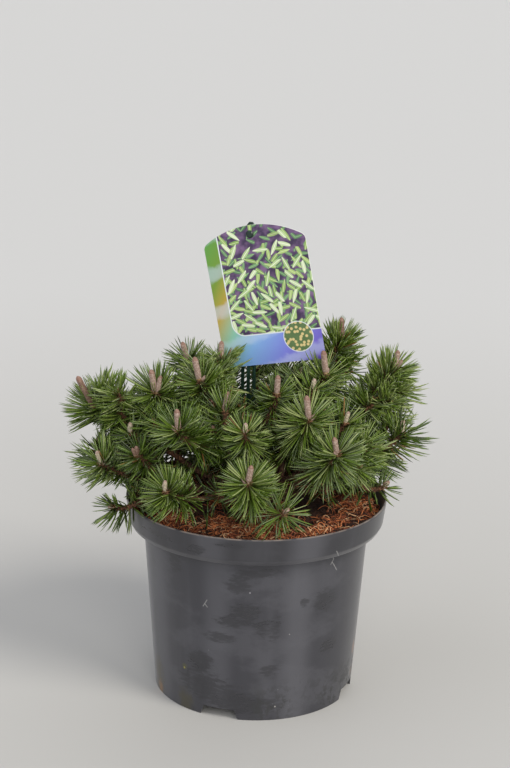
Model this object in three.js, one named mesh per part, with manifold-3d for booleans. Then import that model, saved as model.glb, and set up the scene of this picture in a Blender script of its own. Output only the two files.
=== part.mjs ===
// A dwarf mugo pine in its nursery pot, with its plant label.
// Millimetres, +Z up. The front faces -Y, and the origin is under the middle of the pot.

import * as THREE from 'three';
import { mergeVertices } from 'three/addons/utils/BufferGeometryUtils.js';
import Module from 'manifold-3d';

const wasm = await Module();
wasm.setup();

// ---------------------------------------------------------------- driving dimensions

const clearance = 0.3;

const pot = {
  height: 175,
  wall: 1.8,
  floor: 2.2,
  baseRadius: 87.5,
  shoulderRadius: 98.5,
  shoulderHeight: 151,
  collarHeight: 22,
  collarFootRadius: 111.2,
  collarRadius: 113.7,
  padRadius: 58,
  footHeight: 9.5,
  berth: 1.6,
  sides: 36,
};

const notch = { count: 4, firstTurn: -19.5, width: 34, height: 9, slant: 3 };

const soil = { level: 161.5, flatRadius: 36, bump: 2.2, rings: 5, sides: 24 };

const label = {
  foot: [-9.5, 21],
  yaw: -18,
  roll: -11.5,
  width: 92,
  sideHeight: 108,
  arch: 14,
  thickness: 1,
  tip: 411,
  tipAcross: -0.5,
  tipAbove: 2,
  peg: { drop: 10, radius: 2.2, head: 3.4, reach: 3, root: 1.5 },
};

const stake = { width: 13, thickness: 2.4, ribs: 3, ribDepth: 0.9, shoulder: 7, tipWidth: 5 };

const trunk = {
  footRadius: 16,
  flareHeight: 9,
  radius: 10.5,
  topRadius: 7,
  top: [3, 2, 208],
  sides: 12,
};

const bough = { footRadius: 3, tipRadius: 2.4, share: 0.48, sag: 0.78, sides: 6, rings: 4 };

const twig = { radius: 2.3, budRadius: 2.9, sides: 6, forkShare: 0.34, sunk: 2 };

const needle = {
  length: 32,
  spread: 0.12,
  zone: 32,
  bands: 4,
  lowSweep: -4,
  highSweep: 58,
  shortest: 0.45,
  halfWidth: 1.4,
  samples: 12,
};

const crown = { centreHeight: 150, lift: 0.3 };

// A bud follows its shoot this much, against one part of straight up.
const budFollow = 0.35;

// The boughs of the front half: the height of each one's foot, and the shoots of its foliage.
// A shoot is [turn from the front in degrees, + to the right; reach from the middle of the pot;
// height of its bud's foot; length of its bud; lean of its bud to the right, as seen from the
// front, in degrees; and, where it isn't crown.lift, its own lift].
const frontBoughs = {
  left_low: { foot: 174, shoots: [[-96, 139, 206, 13, -6], [-82, 104, 199, 8, -13]] },
  left_middle: {
    foot: 178,
    shoots: [[-73, 138, 213, 13, -18], [-59, 116, 228, 9, -13], [-66, 132, 179, 5, -80, 0.05]],
  },
  left_high: { foot: 184, shoots: [[-92, 142, 249, 33, -25], [-74, 112, 238, 10, -5]] },
  left_upper: { foot: 196, shoots: [[-77, 90, 271, 22, -9], [-112, 67, 288, 17, -16]] },
  left_top: { foot: 204, shoots: [[-60, 58, 286, 21, -11], [-104, 34, 293, 17, 2]] },
  front_left_low: { foot: 174, shoots: [[-37, 124, 211, 10, -3], [-22, 82, 201, 7, 4]] },
  front_left: { foot: 188, shoots: [[-41, 100, 256, 19, -4], [-25, 66, 269, 17, 11]] },
  front_low: { foot: 170, shoots: [[-4, 105, 221, 17, 9], [12, 110, 197, 6, 39]] },
  front_upper: {
    foot: 197,
    shoots: [[-7, 86, 258, 9, 3], [17, 52, 281, 17, 3], [-38, 22, 258, 8, 6]],
  },
  front_right: { foot: 188, shoots: [[29, 86, 267, 22, -6], [61, 52, 277, 11, 10]] },
  front_right_low: {
    foot: 178,
    shoots: [[36, 111, 242, 16, -10], [56, 88, 257, 8, 16], [40, 92, 206, 7, 5]],
  },
  right_low: {
    foot: 173,
    shoots: [[85, 124, 235, 13, 7], [70, 102, 228, 7, 8], [77, 112, 192, 12, 42]],
  },
  right_high: { foot: 184, shoots: [[97, 119, 288, 15, 7], [91, 96, 262, 7, 4]] },
  right_upper: { foot: 194, shoots: [[113, 78, 310, 17, -3]] },
  right_top: { foot: 204, shoots: [[80, 58, 288, 21, -7], [119, 41, 274, 10, 3]] },
};

// The back half grows by one rule: each ring of boughs goes round from its first turn.
const backRings = [
  { name: 'back_low', foot: 168, count: 5, turn: 118, step: 31, reach: 110, height: 208, shoots: 3 },
  { name: 'back_upper', foot: 183, count: 4, turn: 136, step: 29, reach: 68, height: 254, shoots: 2 },
];

// How far the shoots of such a mass stand apart, and the middle length of their buds.
const backShoot = { across: 21, reach: 14, height: 17, bud: 15, seed: 20 };

// Every other bough of a ring starts this much higher up the trunk.
const footStep = 8;

// The turn of the label's stake, and how far to each side of it no bough starts.
const stakeTurn = 203;
const stakeBerth = 34;

const finish = {
  pot: { color: 0x4e4d52, roughness: 0.55, metalness: 0 },
  soil: { color: 0x5a3420, roughness: 1, metalness: 0 },
  card: { color: 0x6a5a86, roughness: 0.35, metalness: 0 },
  stake: { color: 0x16181a, roughness: 0.35, metalness: 0 },
  bark: { color: 0x5b4334, roughness: 0.95, metalness: 0 },
  bough: { color: 0x6b4a35, roughness: 0.9, metalness: 0 },
  foliage: { color: 0x4c7037, roughness: 0.6, metalness: 0 },
};

// ---------------------------------------------------------------- helpers

const radians = THREE.MathUtils.degToRad;
const lerp = THREE.MathUtils.lerp;
const up = new THREE.Vector3(0, 0, 1);

// A seeded random source, the same on every run.
function randomFrom(seed) {
  let state = seed;
  return () => {
    state = (state * 1664525 + 1013904223) % 4294967296;
    return state / 4294967296;
  };
}

// A place from a turn round the pot (0 in front, + to the right), a reach and a height.
function polar(turn, reach, height) {
  const angle = radians(turn);
  return new THREE.Vector3(reach * Math.sin(angle), -reach * Math.cos(angle), height);
}

function signedVolume(position, index) {
  const [a, b, c] = [new THREE.Vector3(), new THREE.Vector3(), new THREE.Vector3()];
  let volume = 0;
  for (let i = 0; i < index.length; i += 3) {
    a.fromArray(position, index[i] * 3);
    b.fromArray(position, index[i + 1] * 3);
    c.fromArray(position, index[i + 2] * 3);
    volume += a.dot(b.cross(c)) / 6;
  }
  return volume;
}

// A closed geometry as a solid: welded, without the triangles that a lathe folds up at its poles.
function toSolid(geometry) {
  const bare = new THREE.BufferGeometry();
  bare.setAttribute('position', geometry.attributes.position);
  if (geometry.index) {
    bare.setIndex(geometry.index);
  }
  const welded = mergeVertices(bare, 1e-4);
  const position = welded.attributes.position.array;
  const kept = [];
  for (let i = 0; i < welded.index.count; i += 3) {
    const [a, b, c] = [0, 1, 2].map((k) => welded.index.getX(i + k));
    if (a !== b && b !== c && c !== a) {
      kept.push(a, b, c);
    }
  }
  if (signedVolume(position, kept) < 0) {
    kept.reverse();
  }
  return new wasm.Manifold(new wasm.Mesh({
    numProp: 3,
    vertProperties: new Float32Array(position),
    triVerts: new Uint32Array(kept),
  }));
}

function toGeometry(solid) {
  const { vertProperties, triVerts } = solid.getMesh();
  const geometry = new THREE.BufferGeometry();
  geometry.setAttribute('position', new THREE.BufferAttribute(vertProperties, 3));
  geometry.setIndex(new THREE.BufferAttribute(triVerts, 1));
  geometry.computeVertexNormals();
  return geometry;
}

function join(geometries) {
  return toGeometry(geometries.map(toSolid).reduce((whole, piece) => whole.add(piece)));
}

function meshOf(name, geometry, look) {
  const mesh = new THREE.Mesh(geometry, new THREE.MeshStandardMaterial(look));
  mesh.name = name;
  return mesh;
}

// A turned shape about Z from [radius, height] points that start and end on the axis.
function turned(points, sides) {
  const profile = points.map(([radius, height]) => new THREE.Vector2(radius, height));
  return new THREE.LatheGeometry(profile, sides).rotateX(Math.PI / 2);
}

// ---------------------------------------------------------------- limbs

// A limb's route: a bent curve that goes straight on past its end, or there turns into `onward`.
function routeOf(start, bend, end, onward) {
  const curve = new THREE.QuadraticBezierCurve3(start, bend, end);
  const length = curve.getLength();
  const place = (distance) => {
    const share = THREE.MathUtils.clamp(distance / length, 0, 1);
    const past = distance - share * length;
    const tangent = onward && past > 0 ? onward.clone() : curve.getTangentAt(share);
    return { point: curve.getPointAt(share).addScaledVector(tangent, past), tangent };
  };
  return { length, place };
}

// A tapering round limb: a lathe of [distance, radius] rings, bent along its route.
function limb(route, rings, sides) {
  const [first, last] = [rings[0], rings[rings.length - 1]];
  const closed = [[first[0], 0], ...rings, [last[0], 0]];
  const geometry = turned(closed.map(([distance, radius]) => [radius, distance]), sides);
  const position = geometry.attributes.position;
  const spin = new THREE.Quaternion();
  for (let i = 0; i < position.count; i += 1) {
    const { point, tangent } = route.place(position.getZ(i));
    spin.setFromUnitVectors(up, tangent);
    const offset = new THREE.Vector3(position.getX(i), position.getY(i), 0);
    offset.applyQuaternion(spin).add(point);
    position.setXYZ(i, offset.x, offset.y, offset.z);
  }
  return geometry;
}

function distanceToRoute(point, spine) {
  let nearest = Infinity;
  const segment = new THREE.Line3();
  const foot = new THREE.Vector3();
  for (let i = 1; i < spine.length; i += 1) {
    segment.set(spine[i - 1], spine[i]);
    segment.closestPointToPoint(point, true, foot);
    nearest = Math.min(nearest, foot.distanceTo(point));
  }
  return nearest;
}

// Points along a route, for measuring clearances from it.
function spineOf(route, from, to, steps) {
  return Array.from({ length: steps + 1 }, (_, i) => route.place(lerp(from, to, i / steps)).point);
}

// ---------------------------------------------------------------- pot, soil and label

function potGeometry() {
  const collarFoot = pot.height - pot.collarHeight;
  const inner = (radius) => radius - pot.wall;
  const baseInner = pot.baseRadius - pot.wall;
  const bodySlope = (pot.shoulderRadius - pot.baseRadius) / pot.shoulderHeight;
  const floorTop = pot.footHeight + pot.floor;
  const body = turned([
    [0, 0],
    [pot.padRadius, 0],
    [pot.padRadius + 3, pot.footHeight],
    [baseInner, pot.footHeight],
    [baseInner, 0],
    [pot.baseRadius, 0],
    [pot.shoulderRadius, pot.shoulderHeight],
    [pot.collarFootRadius - 3, collarFoot - 0.6],
    [pot.collarFootRadius, collarFoot + 2],
    [pot.collarRadius, pot.height - 1],
    [pot.collarRadius - 0.5, pot.height],
    [inner(pot.collarRadius) + 0.3, pot.height],
    [inner(pot.collarRadius), pot.height - 1],
    [inner(pot.collarFootRadius), collarFoot + 3],
    [inner(pot.collarFootRadius) - 2, collarFoot + 1.2],
    [inner(pot.shoulderRadius), pot.shoulderHeight + 1.6],
    [baseInner + bodySlope * floorTop, floorTop],
    [pot.padRadius + 3 - pot.floor, floorTop],
    [pot.padRadius - pot.floor, pot.floor],
    [0, pot.floor],
  ], pot.sides);
  let solid = toSolid(body);
  for (let i = 0; i < notch.count; i += 1) {
    solid = solid.subtract(toSolid(notchGeometry(notch.firstTurn + (360 / notch.count) * i)));
  }
  return toGeometry(solid);
}

// The tool that cuts one notch through the foot ring: a trapezium pushed out through the wall.
function notchGeometry(turn) {
  const half = notch.width / 2;
  const below = 5;
  const reachIn = 12;
  const outline = new THREE.Shape([
    new THREE.Vector2(-half - notch.slant * (below / notch.height), -below),
    new THREE.Vector2(half + notch.slant * (below / notch.height), -below),
    new THREE.Vector2(half - notch.slant, notch.height),
    new THREE.Vector2(-half + notch.slant, notch.height),
  ]);
  const tool = new THREE.ExtrudeGeometry(outline, { depth: 2 * reachIn, bevelEnabled: false });
  tool.rotateX(Math.PI / 2);
  tool.translate(0, -(pot.baseRadius - reachIn), 0);
  return tool.rotateZ(radians(turn));
}

// The root ball fills the pot to just below the rim, its top uneven but flat under the trunk.
function rootBallGeometry() {
  const collarFoot = pot.height - pot.collarHeight;
  const gap = pot.wall + clearance;
  const floorTop = pot.footHeight + pot.floor + clearance;
  const padTop = pot.floor + clearance;
  const bodySlope = (pot.shoulderRadius - pot.baseRadius) / pot.shoulderHeight;
  const ledge = collarFoot + 1.6 + clearance * 2;
  const flats = Math.cos(Math.PI / pot.sides);
  const topRadius = pot.collarFootRadius * flats - gap;
  const rings = Array.from({ length: soil.rings }, (_, i) => {
    const radius = lerp(topRadius - 1, soil.flatRadius, i / (soil.rings - 1));
    return [radius, soil.level];
  });
  const geometry = turned([
    [0, padTop],
    [pot.padRadius - pot.floor - clearance, padTop],
    [pot.padRadius + 3 - pot.floor - clearance, floorTop],
    [pot.baseRadius * flats - gap + bodySlope * floorTop, floorTop],
    [pot.shoulderRadius * flats - gap, pot.shoulderHeight + 2],
    [topRadius - 3, ledge],
    [topRadius, ledge + 2],
    [topRadius, soil.level - 2],
    ...rings,
    [0, soil.level],
  ], soil.sides);
  const position = geometry.attributes.position;
  for (let i = 0; i < position.count; i += 1) {
    const [x, y, z] = [position.getX(i), position.getY(i), position.getZ(i)];
    const outside = Math.hypot(x, y) - soil.flatRadius;
    if (z > soil.level - 1 && outside > 1) {
      const swell = Math.sin(x * 0.11 + 1.3) * Math.cos(y * 0.13 - 0.4);
      const ripple = 0.5 * Math.sin(x * 0.23 - y * 0.19);
      position.setZ(i, z + soil.bump * (swell + ripple) * Math.min(1, outside / 12));
    }
  }
  return geometry;
}

// The label's card hangs on the peg of its stake, rolled to the left.
const pegHeight = label.tip - label.peg.drop;

const cardTilt = new THREE.Matrix4().makeRotationY(radians(label.roll));

// Where the peg goes through the card, from the middle of its foot line, as if it stood upright.
const pegInCard = (() => {
  const tipToPeg = new THREE.Vector3(0, 0, -label.peg.drop).applyMatrix4(cardTilt.clone().invert());
  const tip = new THREE.Vector3(label.tipAcross, 0, label.sideHeight + label.arch + label.tipAbove);
  return tip.add(tipToPeg);
})();

function cardOutline() {
  const half = label.width / 2;
  const radius = (half * half + label.arch * label.arch) / (2 * label.arch);
  const halfAngle = Math.asin(half / radius);
  const outline = new THREE.Shape();
  outline.moveTo(-half, 0);
  outline.lineTo(half, 0);
  outline.absarc(
    0,
    label.sideHeight + label.arch - radius,
    radius,
    Math.PI / 2 - halfAngle,
    Math.PI / 2 + halfAngle,
    false,
  );
  outline.closePath();
  return outline;
}

function cardGeometry() {
  const outline = cardOutline();
  const hole = new THREE.Path();
  hole.absarc(pegInCard.x, pegInCard.z, label.peg.radius + clearance, 0, 2 * Math.PI, true);
  outline.holes.push(hole);
  const card = new THREE.ExtrudeGeometry(outline, {
    depth: label.thickness,
    bevelEnabled: false,
    curveSegments: 8,
  });
  card.rotateX(Math.PI / 2);
  card.translate(-pegInCard.x, label.thickness / 2, -pegInCard.z);
  return toGeometry(toSolid(card));
}

// A flat strip with ribs down its back, pointed at the tip, with the peg that holds the card.
function stakeGeometry() {
  const length = label.tip - soil.level - clearance;
  const half = stake.width / 2;
  const pitch = stake.width / (stake.ribs * 2 - 1);
  const section = new THREE.Shape();
  section.moveTo(-half, 0);
  section.lineTo(half, 0);
  for (let i = 0; i < stake.ribs; i += 1) {
    const right = half - 2 * i * pitch;
    section.lineTo(right, stake.thickness);
    section.lineTo(right - pitch, stake.thickness);
    if (i < stake.ribs - 1) {
      section.lineTo(right - pitch, stake.thickness - stake.ribDepth);
      section.lineTo(right - 2 * pitch, stake.thickness - stake.ribDepth);
    }
  }
  section.closePath();
  const strip = new THREE.ExtrudeGeometry(section, { depth: length, bevelEnabled: false });
  strip.translate(0, label.thickness / 2 + clearance, 0);

  const aside = half + 1;
  const shoulder = new THREE.Shape([
    new THREE.Vector2(-aside, length + 1),
    new THREE.Vector2(-aside, length - stake.shoulder),
    new THREE.Vector2(-stake.tipWidth / 2, length),
    new THREE.Vector2(stake.tipWidth / 2, length),
    new THREE.Vector2(aside, length - stake.shoulder),
    new THREE.Vector2(aside, length + 1),
  ]);
  const trimDepth = 4 * stake.thickness;
  const trim = new THREE.ExtrudeGeometry(shoulder, { depth: trimDepth, bevelEnabled: false });
  trim.rotateX(Math.PI / 2);
  trim.translate(0, trimDepth * 0.7, 0);

  const pegLength = label.thickness + 2 * clearance;
  const peg = turned([
    [0, -label.peg.root],
    [label.peg.radius, -label.peg.root],
    [label.peg.radius, pegLength],
    [label.peg.head, pegLength],
    [label.peg.head * 0.7, label.peg.reach],
    [0, label.peg.reach],
  ], 12);
  peg.rotateX(Math.PI / 2);
  peg.translate(0, label.thickness / 2 + clearance, pegHeight - soil.level - clearance);
  return toGeometry(toSolid(strip).subtract(toSolid(trim)).add(toSolid(peg)));
}

function labelGroup() {
  const group = new THREE.Group();
  group.position.set(label.foot[0], label.foot[1], soil.level + clearance);
  group.rotation.z = radians(label.yaw);
  const card = meshOf('label_card', cardGeometry(), finish.card);
  card.position.z = pegHeight - soil.level - clearance;
  card.rotation.y = radians(label.roll);
  group.add(card, meshOf('label_stake', stakeGeometry(), finish.stake));
  return group;
}

// ---------------------------------------------------------------- the plant's skeleton

const trunkFoot = new THREE.Vector3(0, 0, soil.level + clearance);
const trunkTop = new THREE.Vector3(...trunk.top);
const trunkBend = new THREE.Vector3(0, 0, (trunkFoot.z + trunkTop.z) / 2);
const trunkRoute = routeOf(trunkFoot, trunkBend, trunkTop);

function trunkRadius(distance) {
  if (distance < trunk.flareHeight) {
    const share = distance / trunk.flareHeight;
    return lerp(trunk.footRadius, trunk.radius, Math.sin((share * Math.PI) / 2));
  }
  const share = (distance - trunk.flareHeight) / (trunkRoute.length - trunk.flareHeight);
  return lerp(trunk.radius, trunk.topRadius, share);
}

function trunkGeometry() {
  const distances = [0, 2, 5, trunk.flareHeight, 20, 32, trunkRoute.length - 1.5];
  const rings = distances.map((distance) => [distance, trunkRadius(distance)]);
  rings.push([trunkRoute.length, trunk.topRadius * 0.7]);
  return limb(trunkRoute, rings, trunk.sides);
}

// The boughs keep off the stake: one that would start in its berth starts beside it.
function footTurn(turn) {
  const off = ((turn - stakeTurn + 540) % 360) - 180;
  return Math.abs(off) < stakeBerth ? stakeTurn + Math.sign(off || 1) * stakeBerth : turn;
}

// The shoots of one mass at the back stand side by side, by turns low and out, and high and in.
function shootsBehind(ring, index, random) {
  const turn = ring.turn + ring.step * index;
  const stray = (range) => range * (random() - 0.5);
  return Array.from({ length: ring.shoots }, (_, k) => {
    const side = (2 * k) / (ring.shoots - 1) - 1;
    const rise = k % 2 === 0 ? -0.5 : 0.8;
    const across = THREE.MathUtils.radToDeg((backShoot.across * side) / ring.reach);
    return [
      turn + across + stray(4),
      ring.reach - backShoot.reach * rise + stray(backShoot.reach),
      ring.height + backShoot.height * rise + stray(8),
      backShoot.bud + stray(12),
    ];
  });
}

function allBoughs() {
  const random = randomFrom(backShoot.seed);
  const list = Object.entries(frontBoughs).map(([name, plan]) => ({ name, ...plan }));
  for (const ring of backRings) {
    for (let i = 0; i < ring.count; i += 1) {
      const foot = ring.foot + footStep * (i % 2);
      list.push({ name: `${ring.name}_${i + 1}`, foot, shoots: shootsBehind(ring, i, random) });
    }
  }
  return list;
}

// A shoot's heading at its bud: out from the crown's centre, lifted towards the light.
function headingOf(head, lift) {
  const outward = head.clone().sub(new THREE.Vector3(0, 0, crown.centreHeight)).normalize();
  outward.z += lift;
  return outward.normalize();
}

// A bud's heading: up, following its shoot a little, with its own lean where it has one.
function budHeadingOf(heading, lean) {
  const turned = heading.clone().multiplyScalar(budFollow).add(up);
  if (lean !== undefined) {
    turned.x = turned.z * Math.tan(radians(lean));
  }
  return turned.normalize();
}

// The routes of one bough, of the stem that its foliage grows from, and of the shoots.
function planBough({ name, foot, shoots }) {
  const heads = shoots.map(([turn, reach, height]) => polar(turn, reach, height));
  const middle = new THREE.Vector3();
  heads.forEach((head) => middle.addScaledVector(head, 1 / heads.length));
  const turn = THREE.MathUtils.radToDeg(Math.atan2(middle.x, -middle.y));

  const away = polar(footTurn(turn), 1, 0);
  const start = trunkRoute.place(foot - trunkFoot.z).point;
  start.addScaledVector(away, trunkRadius(foot - bough.footRadius - trunkFoot.z) + clearance);
  const end = start.clone().lerp(middle, bough.share);
  end.z = lerp(start.z, middle.z, bough.share * bough.sag);
  const bend = start.clone().addScaledVector(away, 0.55 * start.distanceTo(end));
  bend.z += 0.12 * (end.z - start.z);
  const route = routeOf(start, bend, end);

  const tip = route.place(route.length);
  const stemStart = tip.point.clone().addScaledVector(tip.tangent, clearance);
  const fork = stemStart.clone().lerp(middle, twig.forkShare);
  const stemBend = stemStart.clone().addScaledVector(tip.tangent, 0.5 * stemStart.distanceTo(fork));
  const stem = routeOf(stemStart, stemBend, fork);

  const twigs = shoots.map(([, , , bud, lean, lift = crown.lift], i) => {
    const heading = headingOf(heads[i], lift);
    const back = heads[i].clone().addScaledVector(heading, -0.5 * heads[i].distanceTo(fork));
    const path = routeOf(fork, back, heads[i], budHeadingOf(heading, lean));
    return { path, bud, spine: spineOf(path, 0, path.length + bud, 8) };
  });
  return { name, route, stem, twigs, spine: spineOf(route, 0, route.length, 8) };
}

const boughPlans = allBoughs().map(planBough);

function boughGeometry(plan) {
  const rings = Array.from({ length: bough.rings }, (_, i) => {
    const share = i / (bough.rings - 1);
    return [plan.route.length * share, lerp(bough.footRadius, bough.tipRadius, share)];
  });
  return limb(plan.route, rings, bough.sides);
}

// ---------------------------------------------------------------- clearances of the foliage

const labelFrame = new THREE.Matrix4().makeRotationZ(radians(label.yaw));
labelFrame.setPosition(label.foot[0], label.foot[1], 0);
labelFrame.invert();

const stemSpines = boughPlans.map((plan) => spineOf(plan.stem, 0, plan.stem.length, 5));

const trunkSpine = [trunkFoot, trunkTop];

function clearOfPot(point, margin) {
  const reach = Math.hypot(point.x, point.y);
  const inside = pot.collarFootRadius - pot.wall - pot.berth - margin;
  const outside = pot.collarRadius + pot.berth + margin;
  if (point.z > pot.height + pot.berth + margin) {
    return true;
  }
  if (reach > inside && reach < outside) {
    return false;
  }
  return reach > outside || point.z > soil.level + soil.bump * 1.4 + margin;
}

function clearOfLabel(point, margin) {
  const local = point.clone().applyMatrix4(labelFrame);
  const off = margin + 1;
  const onStake = Math.abs(local.x) < stake.width / 2 + off
    && local.y > -off - label.peg.reach / 2
    && local.y < stake.thickness + off + 1;
  if (onStake && point.z < label.tip + off) {
    return false;
  }
  local.z -= pegHeight;
  local.applyMatrix4(cardTilt.clone().invert());
  local.add(pegInCard);
  const inPlane = Math.abs(local.y) < label.thickness / 2 + off;
  const inWidth = Math.abs(local.x) < label.width / 2 + off;
  return !(inPlane && inWidth && local.z > -off && local.z < label.sideHeight + label.arch + off);
}

function clearOfLimbs(point, margin) {
  if (distanceToRoute(point, trunkSpine) < trunk.footRadius + margin) {
    return false;
  }
  const off = bough.footRadius + margin + clearance;
  return boughPlans.every(({ spine }) => distanceToRoute(point, spine) > off);
}

// A needle keeps to its own shoot's space, and off everything that isn't foliage.
function hasRoom(root, tip, ownSpine, otherSpines) {
  const point = new THREE.Vector3();
  for (let i = 1; i <= needle.samples; i += 1) {
    const share = i / needle.samples;
    const margin = needle.halfWidth * (1 - share) + clearance;
    point.lerpVectors(root, tip, share);
    const own = distanceToRoute(point, ownSpine);
    if (otherSpines.some((spine) => distanceToRoute(point, spine) < own + 2 * margin)) {
      return false;
    }
    if (!clearOfPot(point, margin) || !clearOfLabel(point, margin) || !clearOfLimbs(point, margin)) {
      return false;
    }
  }
  return true;
}

// ---------------------------------------------------------------- foliage

// The rings of one shoot: a bare foot sunk in the stem, the needled length and the bud.
function shootRings(length, bud) {
  const zone = Math.min(needle.zone, 0.8 * length);
  const rings = [[-twig.sunk, twig.radius]];
  for (let i = 0; i <= needle.bands; i += 1) {
    rings.push([length - zone + (zone * i) / needle.bands, twig.radius]);
  }
  rings.push([length + 0.4 * bud, twig.budRadius], [length + bud, twig.budRadius * 0.25]);
  return { rings, zone };
}

// One shoot: a slim core, with a needle on each facet of its needled length that has room.
function shootGeometry({ path, bud, spine }, otherSpines, random) {
  const { rings, zone } = shootRings(path.length, bud);
  const core = limb(path, rings, twig.sides);
  const position = core.attributes.position;
  const corners = [];
  const corner = (i) => new THREE.Vector3().fromBufferAttribute(position, i);
  for (let i = 0; i < core.index.count; i += 3) {
    const [a, b, c] = [0, 1, 2].map((k) => corner(core.index.getX(i + k)));
    const root = a.clone().add(b).add(c).divideScalar(3);
    const tip = needleTip(root, path, zone, spine, otherSpines, random);
    const faces = tip ? [[a, b, tip], [b, c, tip], [c, a, tip]] : [[a, b, c]];
    faces.flat().forEach((p) => corners.push(p.x, p.y, p.z));
  }
  const geometry = new THREE.BufferGeometry();
  geometry.setAttribute('position', new THREE.Float32BufferAttribute(corners, 3));
  return geometry;
}

// Where the needle on this facet ends, or null where it carries none.
function needleTip(root, path, zone, spine, otherSpines, random) {
  const along = nearestDistance(path, root);
  const share = (along - path.length + zone) / zone;
  const vary = 1 + needle.spread * (2 * random() - 1);
  if (share < 0.02 || share > 0.98) {
    return null;
  }
  const { point, tangent } = path.place(along);
  const outward = root.clone().sub(point).projectOnPlane(tangent).normalize();
  const sweep = radians(lerp(needle.lowSweep, needle.highSweep, share ** 1.3));
  const heading = outward.multiplyScalar(Math.cos(sweep)).addScaledVector(tangent, Math.sin(sweep));
  for (let size = vary; size > needle.shortest; size -= 0.15) {
    const tip = root.clone().addScaledVector(heading, needle.length * size);
    if (hasRoom(root, tip, spine, otherSpines)) {
      return tip;
    }
  }
  return null;
}

// How far along its route a facet of the core lies.
function nearestDistance(path, point) {
  let [low, high] = [0, path.length + 1];
  for (let i = 0; i < 24; i += 1) {
    const middle = (low + high) / 2;
    const place = path.place(middle);
    if (point.clone().sub(place.point).dot(place.tangent) > 0) {
      low = middle;
    } else {
      high = middle;
    }
  }
  return (low + high) / 2;
}

// One mass of foliage: its stem, forking into shoots.
function foliageGeometry(plan, index) {
  const random = randomFrom(100 + index);
  const { stem } = plan;
  const stemRings = [
    [0, bough.tipRadius],
    [stem.length * 0.5, bough.tipRadius],
    [stem.length + 1, bough.tipRadius],
  ];
  const pieces = [limb(stem, stemRings, bough.sides)];
  const everyTwig = boughPlans.flatMap(({ twigs }) => twigs);
  for (const twigPlan of plan.twigs) {
    const others = everyTwig.filter((other) => other !== twigPlan).map(({ spine }) => spine);
    const stems = stemSpines.filter((_, i) => i !== index);
    pieces.push(shootGeometry(twigPlan, [...others, ...stems], random));
  }
  return join(pieces);
}

// ---------------------------------------------------------------- assembly

const plant = new THREE.Group();
plant.add(meshOf('trunk', toGeometry(toSolid(trunkGeometry())), finish.bark));
boughPlans.forEach((plan, index) => {
  plant.add(
    meshOf(`bough_${plan.name}`, toGeometry(toSolid(boughGeometry(plan))), finish.bough),
    meshOf(`foliage_${plan.name}`, foliageGeometry(plan, index), finish.foliage),
  );
});

const whole = new THREE.Group();
whole.add(
  meshOf('pot', potGeometry(), finish.pot),
  meshOf('root_ball', toGeometry(toSolid(rootBallGeometry())), finish.soil),
  labelGroup(),
  plant,
);

export default whole;
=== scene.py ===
import math

import bpy
import numpy as np
from mathutils import Matrix, Vector, noise


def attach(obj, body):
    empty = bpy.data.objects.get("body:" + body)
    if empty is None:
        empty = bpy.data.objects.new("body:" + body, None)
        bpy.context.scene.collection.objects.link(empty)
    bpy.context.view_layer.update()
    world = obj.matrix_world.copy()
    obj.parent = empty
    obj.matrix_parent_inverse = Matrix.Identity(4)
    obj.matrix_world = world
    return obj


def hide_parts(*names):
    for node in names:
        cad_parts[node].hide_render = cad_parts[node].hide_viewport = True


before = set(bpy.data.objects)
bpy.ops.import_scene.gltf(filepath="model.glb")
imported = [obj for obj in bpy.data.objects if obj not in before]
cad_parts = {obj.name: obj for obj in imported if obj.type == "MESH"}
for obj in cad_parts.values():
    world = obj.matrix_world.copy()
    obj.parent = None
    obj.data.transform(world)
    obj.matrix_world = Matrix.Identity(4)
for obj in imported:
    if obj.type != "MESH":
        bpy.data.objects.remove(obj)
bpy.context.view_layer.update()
print("frame loaded,", len(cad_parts), "nodes")

# sizes are in millimetres unless a note says otherwise; meshes are scaled to metres once
mm = 0.001
goldenTurn = math.radians(137.508)
clearance = 0.3


# vectors, routes and meshes

def vec(x, y, z):
    return np.array((x, y, z), float)


def unit(vectors):
    return vectors / np.linalg.norm(vectors, axis=-1, keepdims=True)


def lerp(a, b, share):
    return a + (b - a) * share


# unit vectors, turned until they are square to the axes
def squareTo(axes, vectors):
    return unit(vectors - axes * (vectors * axes).sum(1, keepdims=True))


# a place from a turn round the pot (0 in front, + to the right), a reach and a height
def polar(turn, reach, height):
    angle = math.radians(turn)
    return vec(reach * math.sin(angle), -reach * math.cos(angle), height)


def turnsOf(sides):
    return np.arange(sides) * (2 * math.pi / sides)


# two directions square to each tangent, so that first x second = tangent
def crossAxes(tangents):
    least = np.argmin(np.abs(tangents.mean(0)))
    first = unit(np.cross(np.eye(3)[least], tangents))
    return first, np.cross(tangents, first)


# directions square to the tangents, at these turns round them
def outwardOf(tangents, turns):
    first, second = crossAxes(tangents)
    return first * np.cos(turns)[..., None] + second * np.sin(turns)[..., None]


class Route:
    # a bent line, measured along its length, that past its end goes straight on or turns along onward
    def __init__(self, start, bend, end, onward=None):
        self.corners, self.onward = (start, bend, end), onward
        self.shares = np.linspace(0, 1, 101)
        gaps = np.linalg.norm(np.diff(self.curve(self.shares)[0], axis=0), axis=1)
        self.run = np.concatenate([[0], np.cumsum(gaps)])
        self.length = self.run[-1]

    def curve(self, shares):
        start, bend, end = self.corners
        t = np.asarray(shares, float)[..., None]
        point = (1 - t) ** 2 * start + 2 * t * (1 - t) * bend + t * t * end
        return point, unit(2 * (1 - t) * (bend - start) + 2 * t * (end - bend))

    def place(self, distances):
        distances = np.asarray(distances, float)
        inside = np.clip(distances, 0, self.length)
        point, tangent = self.curve(np.interp(inside, self.run, self.shares))
        if self.onward is not None:
            tangent = np.where((distances > self.length)[..., None], self.onward, tangent)
        return point + tangent * (distances - inside)[..., None], tangent


def addObject(name, data):
    made = bpy.data.objects.new(name, data)
    bpy.context.scene.collection.objects.link(made)
    return made


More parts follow.
